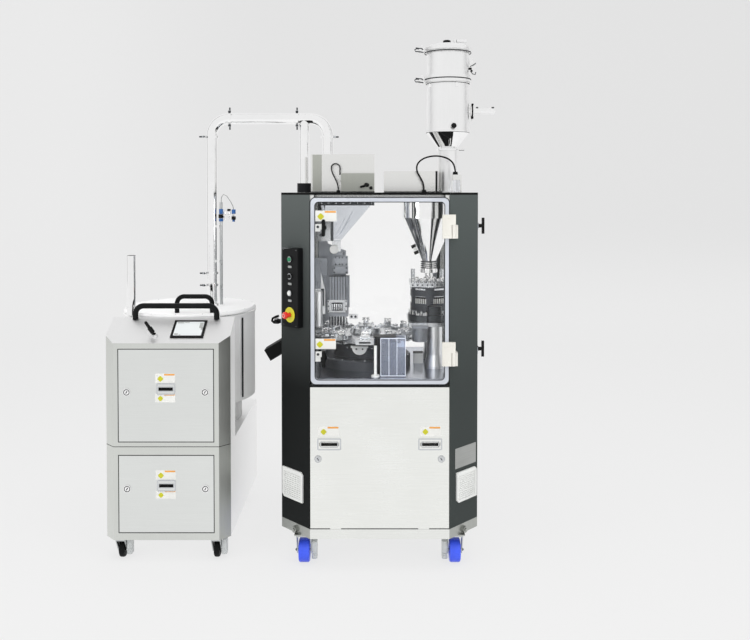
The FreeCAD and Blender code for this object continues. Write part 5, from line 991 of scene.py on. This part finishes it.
def loader_trim():
    """The loader's seals, toggles, sight glass, side fitting, lugs and the stub's clamp."""
    seals, black, lugs, wires = Form(), Form(), Form(), Form()
    for z, radius, wall, high in ((2752, 131.6, 2, 5), (2601, 131.2, 2.4, 6), (2578, 122.5, 1.6, 3),
                                  (2305.4, 122.6, 3, 1.6), (2209, 60, 5.8, 2.6)):
        seals.hoop(LOADER + high_up(z), TOP, radius=radius, wall=wall, length=high, sides=64)
    black.hoop((378, 400, 2806.4), TOP, radius=21.6, wall=2.2, length=13)
    black.hoop((519, 430, 2429), RIGHT, radius=33.4, wall=1.8, length=8)
    black.lathe((408, 294.4, 2337), FRONT, [(15, 0), (15, 2), (13, 3), (0.2, 3)])
    for xs in ((546, 558), (634, 648)):
        black.box(xs, (424, 436), (2447.6, 2453))
    for place, way, radius, long in (((523, 425, 2392), FRONT, 8, 9),
                                     ((523, 425, 2466), (0.5, -1, 0), 6, 9),
                                     ((505, 404, 2664), (0.8, -0.6, 0), 7, 12),
                                     ((514, 398, 2650), (0.3, -1, 0), 6, 10)):
        black.rod(place, way, radius=radius, length=long)
    for z in (2770, 2600):
        wires.sweep([(x, y, z + rise) for x, y, rise in (
            (258, 426, -4), (238, 418, 10), (214, 414, 10), (198, 414, 2), (204, 414, -8), (226, 416, -8),
            (248, 420, -12))], radius=3)
        wires.rod((222, 413, z + 8), (-1, -0.3, 0.1), radius=5, length=18)
    wires.sweep([(508, 400, 2676), (522, 396, 2682), (540, 394, 2694)], radius=2.2)
    wires.sweep([(512, 398, 2650), (522, 394, 2634), (536, 392, 2630), (540, 394, 2644)], radius=2.6)
    for turn in (-60, 20, 150):
        way = Vector((math.sin(math.radians(turn)), -math.cos(math.radians(turn)), 0))
        lugs.plate(LOADER + high_up(2566) + way * 119.6, way, wide=18, high=24, thick=4, corner=3)
    seals.done("loader_seals", seal_rubber, "cabinets", "black_plastic")
    black.done("loader_black_parts", gloss_black, "cabinets", "black_plastic")
    wires.done("loader_toggle_wires", dark_steel, "cabinets", "dark_steel")
    lugs.done("loader_lugs", polished_steel, "cabinets", "bright_steel")


roof_trim()
loader_trim()


# ---------------------------------------------------------------- castors and latches

# Each swivel fork's brake plate and axle end: spot, left and right, near and far, bottom and top, axle.
BRAKES = {"machine_fork_left": (on_machine, (-360, -331), (96, 136), (26, 122), (-440, 132, 62.5)),
          "machine_fork_right": (on_machine, (331, 360), (96, 136), (26, 122), (440, 132, 62.5)),
          "unit_fork_left": (on_unit, (-229, -200), (52, 92), (24, 108), (-281, 86.6, 48)),
          "unit_fork_right": (on_unit, (281, 310), (52, 92), (24, 108), (281, 86.6, 48))}
SIDE_LATCH_Y = 238
RIGHT_LATCHES = {"right_latch_upper": 1790, "right_latch_lower": 1120}


def castor_trim():
    """Pale brake plates on the swivel forks, each with its pedal, and the nuts on their axles."""
    for body, (spot, across, deep, high, axle) in BRAKES.items():
        plate = Form(spot)
        plate.box(across, deep, high, edge=3)
        plate.box(across, (deep[0] - 3, deep[0] + 4), (high[0] + 22, high[0] + 30), edge=1)
        plate.done(body + "_brake", castor_grey, body, "stainless")
        way = math.copysign(1, axle[0])
        set_out(body + "_bolt", HEX_NUT, [(axle, (way, 0, 0), 1.4)], dark_steel, spot, body)


def latch_trim():
    """Stem collars of the right door's handles and the left latch's curved grip."""
    for body, z in RIGHT_LATCHES.items():
        collar = Form()
        collar.lathe((530, SIDE_LATCH_Y, z), RIGHT, [(17, 0), (17, 5), (11, 9), (10, 24)])
        collar.done(body + "_collar", gloss_black, body, "black_plastic")
    grip = Form()
    grip.sweep([(-534, 238, 1268), (-552, 232, 1262), (-572, 226, 1264), (-583, 222, 1275), (-580, 222, 1287),
                (-564, 224, 1296), (-546, 228, 1301)], radius=6.5)
    grip.done("left_latch_grip", gloss_black, "left_latch", "black_plastic")


castor_trim()
latch_trim()


# ---------------------------------------------------------------- chamber

TURRET, DOSE = Vector((-79, 440, 0)), Vector((280, 430, 0))
SEGMENT_TURNS = [30 * i for i in range(12)]
SEGMENT_TOP, ARM_TOP, YOKE_FOOT = 1182, 1190, 1202
BORES = (-33, -11, 11, 33)
HOUSING_FOOT = 1060
HEAD_TURNS = range(0, 360, 60)


def outward(degrees):
    """The level way out from an axis, at an angle."""
    return Vector((math.cos(math.radians(degrees)), math.sin(math.radians(degrees)), 0))


def around(middle, degrees, radius, z, aside=0.0):
    """A point at an angle and radius from an axis, and a little to the side of that line."""
    return tuple(middle + outward(degrees) * radius + outward(degrees + 90) * aside + high_up(z))


# The bushing round a capsule's bore.
BUSHING = part_of("bushing", [(4.7, 0), (6.28, 0), (6.6, 0.32), (6.6, 1.28), (6.28, 1.6), (4.7, 1.6)], 16,
                  closed=True)
# A turned knob on a waisted stem.
KNOB = part_of("knob", [(4, 0), (4, 5), (3, 6), (3, 9), (6.5, 10.5), (6.5, 17), (5, 19), (0.2, 19.4)], 16)


def on_segments(radius, z, asides, size):
    """Places on top of every capsule segment, at a radius and some way to each side."""
    return [(around(TURRET, turn, radius, z, aside), TOP, size) for turn in SEGMENT_TURNS for aside in asides]


def turret_trim():
    """Each capsule segment's bushings, screws, knobs and yoke, and the hub's cap with its nuts."""
    hub_nuts = [(around(TURRET, 60 * i + 15, 63, 1204), TOP, 1.3) for i in range(6)]
    for name, part, finish, places in (
            ("turret_bushings", BUSHING, machined_steel, on_segments(274.2, SEGMENT_TOP, BORES, 1.0)),
            ("turret_screws", CAP_SCREW, polished_steel,
             on_segments(201, ARM_TOP, (-15, 15), 1.15) + on_segments(292, SEGMENT_TOP, (-40, 40), 0.8)),
            ("turret_knobs", KNOB, polished_steel, on_segments(246, YOKE_FOOT, (-9, 9), 1.0)),
            ("turret_hub_nuts", HEX_NUT, machined_steel, hub_nuts)):
        set_out(name, part, places, finish, body="turret")
    yokes, cap, dark = Form(), Form(), Form()
    for turn in SEGMENT_TURNS:
        yokes.plate(around(TURRET, turn, 262, YOKE_FOOT), TOP, wide=12, high=44, thick=5, corner=2, edge=0.6,
                    turn=turn)
        for aside in (-17, 17):
            yokes.rod(around(TURRET, turn, 262, YOKE_FOOT + 5, aside), TOP, radius=3.6, length=14)
        yokes.rod(around(TURRET, turn, 262, YOKE_FOOT + 15, -21), outward(turn + 90), radius=3.2, length=42)
        dark.plate(around(TURRET, turn, 299.6, 1170), outward(turn), wide=62, high=9, thick=1.2, corner=2)
    cap.lathe(TURRET + high_up(1204), TOP, [(36, 0), (36, 8), (30, 12), (12, 13), (12, 22), (10, 24),
                                            (0.2, 24)])
    yokes.done("turret_yokes", polished_steel, "turret", "polished_steel")
    dark.done("turret_segment_slots", seal_rubber, "turret", "black_plastic")
    cap.done("turret_hub_cap", machined_steel, "turret", "bright_steel")


def housing_trim():
    """Screws of the housing and its guard, the housing's dark band, and the cover of the white block."""
    places = [(around(TURRET, 15 * i, 244, HOUSING_FOOT), TOP, 1.5) for i in range(24)]
    places += [(around(TURRET, 45 * i + 12, 180, 1116), outward(45 * i + 12), 1.1) for i in range(8)]
    set_out("housing_screws", DOME_SCREW, places, machined_steel)
    set_out("guard_screws", DOME_SCREW, [((x, 238, 1117), FRONT, 1.0) for x in (-126, -92)], dark_steel)
    band, cover = Form(), Form()
    band.hoop(TURRET + high_up(1088), TOP, radius=181.4, wall=1.1, length=7, sides=72)
    band.done("housing_band", dark_steel, "cabinets", "dark_steel")
    cover.box((191.5, 248.5), (398.5, 451.5), (1062.3, 1066), edge=0.6)
    cover.done("block_cover", black_plastic, "cabinets", "black_plastic")


def feeder_trim():
    """The feeder's sight, cast blocks, dark recesses and side cylinder, with their screws."""
    sight, cast, dark, chrome = Form(), Form(), Form(), Form()
    sight.lathe((-252, 360, 1653), FRONT, [(25, 0), (25, 6), (23, 8), (19, 8), (19, 5.6), (0.2, 5.6)],
                sides=36)
    for form, xs, ys, zs, edge in (
            (cast, (-252, -176), (350, 363.8), (1560, 1617), 2),
            (cast, (-258, -174), (341, 352.5), (1517, 1561), 2),
            (cast, (-216, -213), (348.6, 351), (1564, 1613), 0.4),
            (cast, (-361, -291), (380, 391), (1503, 1604), 2),
            (cast, (-361, -322), (296, 299.7), (1440, 1590), 1),
            (dark, (-254, -176), (349.4, 352), (1554, 1561), 0.5),
            (dark, (-283, -186), (412, 418), (1219, 1275), 0.5),
            (dark, (-322, -304), (292, 299.6), (1345, 1440), 1),
            (chrome, (-168, -122), (376, 394), (1262, 1286), 1.5),
            (chrome, (-176, -167), (380, 390), (1281, 1287), 0.5)):
        form.box(xs, ys, zs, edge=edge)
    dark.plate((-318, 358, 1762), FRONT, wide=40, high=60, thick=5, corner=3)
    dark.rod((-322, 350, 1735), FRONT, radius=10, length=40)
    chrome.rod((-336, 275.4, 1236), TOP, radius=24.6, length=196, edge=3, sides=36)
    chrome.hoop((-336, 275.4, 1300), TOP, radius=25.4, wall=1.4, length=8, sides=36)
    sight.done("feeder_sight", white_plastic, "cabinets", "white_plastic")
    cast.done("feeder_castings", cast_grey, "cabinets", "cast_metal")
    dark.done("feeder_dark_parts", dark_steel, "cabinets", "dark_steel")
    chrome.done("feeder_cylinder", satin_steel, "cabinets", "stainless")
    places = [((x, 341, z), FRONT, 1.0) for x in (-250, -183) for z in (1526, 1550)]
    places += [((x, 350, z), FRONT, 0.9) for x in (-244, -222, -206, -184) for z in (1570, 1608)]
    places += [((x, 376, 1274), FRONT, 1.3) for x in (-156, -134)]
    set_out("feeder_screws", CAP_SCREW, places, dark_steel)


def magazine_trim():
    """The capsule magazine's side flange, the recess in its foot with its pins, and its screws."""
    flange, recess = Form(), Form()
    flange.box((-188.8, -176), (374, 420), (1436, 1499), edge=1)
    flange.done("magazine_flange", cast_grey, "capsule_magazine", "cast_metal")
    recess.plate((-235, 354, 1333), FRONT, wide=62, high=46, thick=1.0, corner=3)
    recess.done("magazine_recess", seal_rubber, "capsule_magazine", "black_plastic")
    pins = [((-260 + 10 * i, 350, 1314), TOP, 1.2) for i in range(6)]
    screws = [((x, 354, z), FRONT, 0.8) for x in (-284, -186) for z in (1308, 1335, 1362)]
    set_out("magazine_pins", WHITE_PIN, pins, machined_steel, body="capsule_magazine")
    set_out("magazine_screws", CAP_SCREW, screws, dark_steel, body="capsule_magazine")


def head_trim():
    """The tamping head's windows: a dark recess in each, with white pins and two bars before it."""
    pins, bars, recess = [], Form(), Form()
    for turn in HEAD_TURNS:
        pins += [(around(DOSE, turn, 98, 1350.5, aside), TOP, 0.95) for aside in (-30, -18, -6, 6, 18, 30)]
        recess.plate(around(DOSE, turn, 95, 1366), outward(turn), wide=72, high=36, thick=1, corner=2)
        bars.plate(around(DOSE, turn, 90.5, 1431), outward(turn), wide=62, high=10, thick=14.5, corner=1)
        bars.plate(around(DOSE, turn, 90, 1391), outward(turn), wide=62, high=3.4, thick=14.6, corner=1)
    set_out("head_window_pins", WHITE_PIN, pins, white_plastic, body="tamping_head")
    bars.done("head_bars", machined_steel, "tamping_head", "bright_steel")
    recess.done("head_recesses", gloss_black, "tamping_head", "black_plastic")


def disc_trim():
    """The ring of white pins that stands on the dosing disc."""
    pins = [(around(DOSE, 15 * i + 4, 112, 1286.4), TOP, 0.72) for i in range(24)]
    set_out("disc_pins", WHITE_PIN, pins, white_plastic, body="dosing_disc")


def head_plate_trim():
    """The knobs and nuts on the tamping head's plate, and the screws in its front."""
    knobs = [((188 + 23 * i, 352 + 9 * (i % 2), 1467), TOP, (1.3, 1.7)[i % 2]) for i in range(9)]
    nuts = [((200 + 23 * i, 344, 1467), TOP, 1.5) for i in range(8)]
    screws = [((186 + 27 * i, 340, 1455), FRONT, 0.9) for i in range(8)]
    for name, part, places, finish in (("head_knobs", KNOB, knobs, polished_steel),
                                       ("head_plate_nuts", HEX_NUT, nuts, machined_steel),
                                       ("head_plate_screws", CAP_SCREW, screws, dark_steel)):
        set_out(name, part, places, finish, body="tamping_head")


def dosing_trim():
    """The motor's dark caps, and the hopper's neck rings and its knobs with their block."""
    cap, neck, black, white = Form(), Form(), Form(), Form()
    cap.plate((302.5, 285, 1300), TOP, wide=80, high=47, thick=46, corner=22, edge=2, steps=8)
    cap.plate((302.5, 285, 1257.4), TOP, wide=84, high=48, thick=40, corner=23, edge=2, steps=8)
    for z in (1543, 1554, 1565, 1576):
        neck.hoop(DOSE + high_up(z), TOP, radius=46, wall=4.6, length=5.5, sides=40)
    for x, z in ((202, 1669), (218, 1634)):
        black.rod((x, 430, z), (-0.911, 0, -0.411), radius=9.5, length=22)
    white.box((194, 211), (424, 436), (1642, 1664))
    cap.done("column_cap", dark_steel, "cabinets", "dark_steel")
    neck.done("neck_rings", dark_steel, "cabinets", "dark_steel")
    black.done("hopper_knobs", gloss_black, "cabinets", "black_plastic")
    white.done("hopper_knob_block", white_plastic, "cabinets", "white_plastic")


def reject_trim():
    """The clear box's polished edges, its dark cover and the dark plate beside it."""
    edges, cover, plate = Form(), Form(), Form()
    for x in (4, 47, 89, 133):
        edges.box((x, x + 3), (60.6, 61.8), (1009, 1210), edge=0.3)
    for z in (1206, 1009):
        edges.box((4, 136), (60.4, 61.8), (z, z + 4), edge=0.3)
    edges.box((133, 135.8), (70, 140), (1210.2, 1212.6), edge=0.3)
    edges.done("reject_box_edges", acrylic_edge, "reject_box", "clear_plastic")
    cover.plate((26, 103, 1210.4), TOP, wide=118, high=74, thick=5, corner=3)
    cover.done("reject_box_cover", black_plastic, "reject_box", "black_plastic")
    plate.box((-14, 3.4), (104, 109), (1006, 1206), edge=0.8)
    plate.done("reject_side_plate", black_plastic, "cabinets", "black_plastic")


def hopper_trim():
    """The capsule hopper's dark cover strip with its screws, its mouth and the light ribs on its front."""
    strip, ribs, mouth = Form(), Form(), Form()
    strip.box((-332, -28), (358, 359.8), (1898, 1928), edge=0.4)
    strip.done("hopper_strip", dark_steel, "cabinets", "dark_steel")
    for low, high in (((-244, 1728), (-192, 1828)), ((-226, 1728), (-150, 1864)),
                      ((-262, 1740), (-236, 1796)), ((-212, 1746), (-166, 1822)),
                      ((-284, 1745), (-262, 1790))):
        ribs.sweep([(x, 358.4, z) for x, z in (low, high)], radius=1.6, sides=8)
    ribs.done("hopper_ribs", acrylic_edge, "cabinets", "clear_plastic")
    mouth.box((-318, -256), (352, 358), (1700, 1808), edge=1)
    mouth.done("hopper_mouth_plate", dark_steel, "cabinets", "dark_steel")
    set_out("hopper_strip_screws", DOME_SCREW, [((-322 + 40 * i, 358, 1912), FRONT, 1.0) for i in range(8)],
            machined_steel)


turret_trim()
housing_trim()
feeder_trim()
magazine_trim()
head_trim()
disc_trim()
head_plate_trim()
dosing_trim()
reject_trim()
hopper_trim()


# ---------------------------------------------------------------- floor, backdrop and lamps

SHEET_FRONT, SHEET_BEND, SHEET_TOP, SHEET_SIDE = -9.0, 6.0, 9.0, 14.0
SHEET_RADIUS, SHEET_STEPS = 2.5, 12
SHEET_GLOW, SHEET_MIRRORED = 0.86, 0.14
# Painted shade: the sheet turns darker between these two places across it, and from the floor up to this
# height.
DARKER_ACROSS, DARKER_HEIGHT = (-5.0, -1.0), 1.6
AIR_STRENGTH, AIR_MIRRORED = 0.75, 0.25


def sheet_paper():
    """Matt paper that shows its own tone, with painted shade that makes it a little darker up on the right,
    and casts next to no light.
    """
    paper = bpy.data.materials.new("pale_studio_paper")
    paper.use_nodes = True
    tree = paper.node_tree
    tree.nodes.clear()
    path = add(tree, "ShaderNodeLightPath")
    plain = add(tree, "ShaderNodeMath", {0: (path, "Is Camera Ray"), 1: (path, "Is Glossy Ray")},
                operation="MAXIMUM")
    seen = add(tree, "ShaderNodeMath", {0: (plain, "Value"), 1: (path, "Is Transmission Ray")},
               operation="MAXIMUM")
    share = add(tree, "ShaderNodeMath", {0: (seen, "Value"), 1: SHEET_GLOW}, operation="MULTIPLY")
    place = add(tree, "ShaderNodeTexCoord")
    way = add(tree, "ShaderNodeSeparateXYZ", {"Vector": (place, "Object")})
    across = add(tree, "ShaderNodeMapRange", {"Value": (way, "X"), "From Min": DARKER_ACROSS[0],
                                              "From Max": DARKER_ACROSS[1]}, interpolation_type="SMOOTHSTEP")
    rise = add(tree, "ShaderNodeMapRange", {"Value": (way, "Z"), "From Min": 0.0, "From Max": DARKER_HEIGHT},
               interpolation_type="SMOOTHSTEP")
    darker = add(tree, "ShaderNodeMath", {0: (across, "Result"), 1: (rise, "Result")}, operation="MULTIPLY")
    tone = add(tree, "ShaderNodeMix", {0: (darker, "Value"), 6: colour("eeeeee"), 7: colour("e7e7e7")},
               data_type="RGBA")
    matt = add(tree, "ShaderNodeBsdfDiffuse", {"Color": (tone, 2)})
    mirrored = add(tree, "ShaderNodeMath", {0: (path, "Is Glossy Ray"), 1: SHEET_MIRRORED, 2: 1.0},
                   operation="MULTIPLY_ADD")
    glow = add(tree, "ShaderNodeEmission", {"Color": (tone, 2), "Strength": (mirrored, "Value")})
    mix = add(tree, "ShaderNodeMixShader", {0: (share, "Value"), 1: (matt, "BSDF"), 2: (glow, "Emission")})
    add(tree, "ShaderNodeOutputMaterial", {"Surface": (mix, "Shader")})
    return paper


def studio_sheet():
    """A pale sheet under and behind the machine, curved up at the back."""
    profile = [(SHEET_FRONT, 0.0), (SHEET_BEND, 0.0)]
    for step in range(1, SHEET_STEPS + 1):
        angle = math.pi / 2 * step / SHEET_STEPS
        profile.append((SHEET_BEND + SHEET_RADIUS * math.sin(angle),
                        SHEET_RADIUS * (1 - math.cos(angle))))
    profile.append((SHEET_BEND + SHEET_RADIUS, SHEET_TOP))
    mesh = bpy.data.meshes.new("studio_sheet")
    points = [(side * SHEET_SIDE, y, z) for y, z in profile for side in (-1, 1)]
    faces = [(2 * i, 2 * i + 1, 2 * i + 3, 2 * i + 2) for i in range(len(profile) - 1)]
    mesh.from_pydata(points, [], faces)
    mesh.shade_smooth()
    mesh.materials.append(sheet_paper())
    sheet = bpy.data.objects.new("studio_sheet", mesh)
    bpy.context.collection.objects.link(sheet)


def soft_lamp(name, place, aim, wide, high, watts):
    """A soft box of that size, aimed at a point."""
    data = bpy.data.lights.new(name, "AREA")
    data.shape = "RECTANGLE"
    data.size, data.size_y, data.energy = wide, high, watts
    lamp = bpy.data.objects.new(name, data)
    lamp.location = place
    lamp.rotation_euler = (Vector(aim) - Vector(place)).to_track_quat("-Z", "Y").to_euler()
    lamp.visible_glossy = False
    bpy.context.collection.objects.link(lamp)


def studio_air():
    """White air all round. Polished metal also finds two dark flags in it, far out at the sides."""
    world = bpy.data.worlds.new("studio_air")
    bpy.context.scene.world = world
    world.use_nodes = True
    tree = world.node_tree
    tree.nodes.clear()
    place = add(tree, "ShaderNodeTexCoord")
    way = add(tree, "ShaderNodeSeparateXYZ", {"Vector": (place, "Generated")})
    side = add(tree, "ShaderNodeMath", {0: (way, "X")}, operation="ABSOLUTE")
    turn = add(tree, "ShaderNodeMath", {0: (way, "Y"), 1: (side, "Value")}, operation="ARCTAN2")
    flags = add(tree, "ShaderNodeValToRGB", {"Fac": (turn, "Value")})
    stops = flags.color_ramp.elements
    stops[0].position, stops[0].color = 0.0, colour("f3f3f3")
    stops[1].position, stops[1].color = 0.2, colour("f1f1f1")
    for position, code in ((0.26, "3a3a3a"), (0.34, "2a2a2a"), (0.38, "f4f4f4"), (1.0, "f4f4f4")):
        stops.new(position).color = colour(code)
    path = add(tree, "ShaderNodeLightPath")
    tone = add(tree, "ShaderNodeMix", {0: (path, "Is Glossy Ray"), 6: colour("f2f2f2"), 7: (flags, "Color")},
               data_type="RGBA")
    strength = add(tree, "ShaderNodeMath", {0: (path, "Is Glossy Ray"), 1: AIR_MIRRORED, 2: AIR_STRENGTH},
                   operation="MULTIPLY_ADD")
    sky = add(tree, "ShaderNodeBackground", {"Color": (tone, 2), "Strength": (strength, "Value")})
    add(tree, "ShaderNodeOutputWorld", {"Surface": (sky, "Background")})


studio_sheet()
soft_lamp("overhead_softbox", place=(0.2, -0.8, 4.6), aim=(0.2, 0.2, 0.8), wide=4.5, high=3.5, watts=104)
soft_lamp("left_softbox", place=(-4.2, -3.4, 2.6), aim=(0.2, 0.0, 1.1), wide=2.0, high=3.0, watts=60)
soft_lamp("right_softbox", place=(4.4, -3.8, 2.8), aim=(0.2, 0.0, 1.2), wide=2.0, high=3.0, watts=60)
soft_lamp("front_softbox", place=(0.2, -6.5, 3.4), aim=(0.2, 0.0, 1.0), wide=3.0, high=2.0, watts=60)
studio_air()
bpy.context.scene.view_settings.view_transform = "Standard"
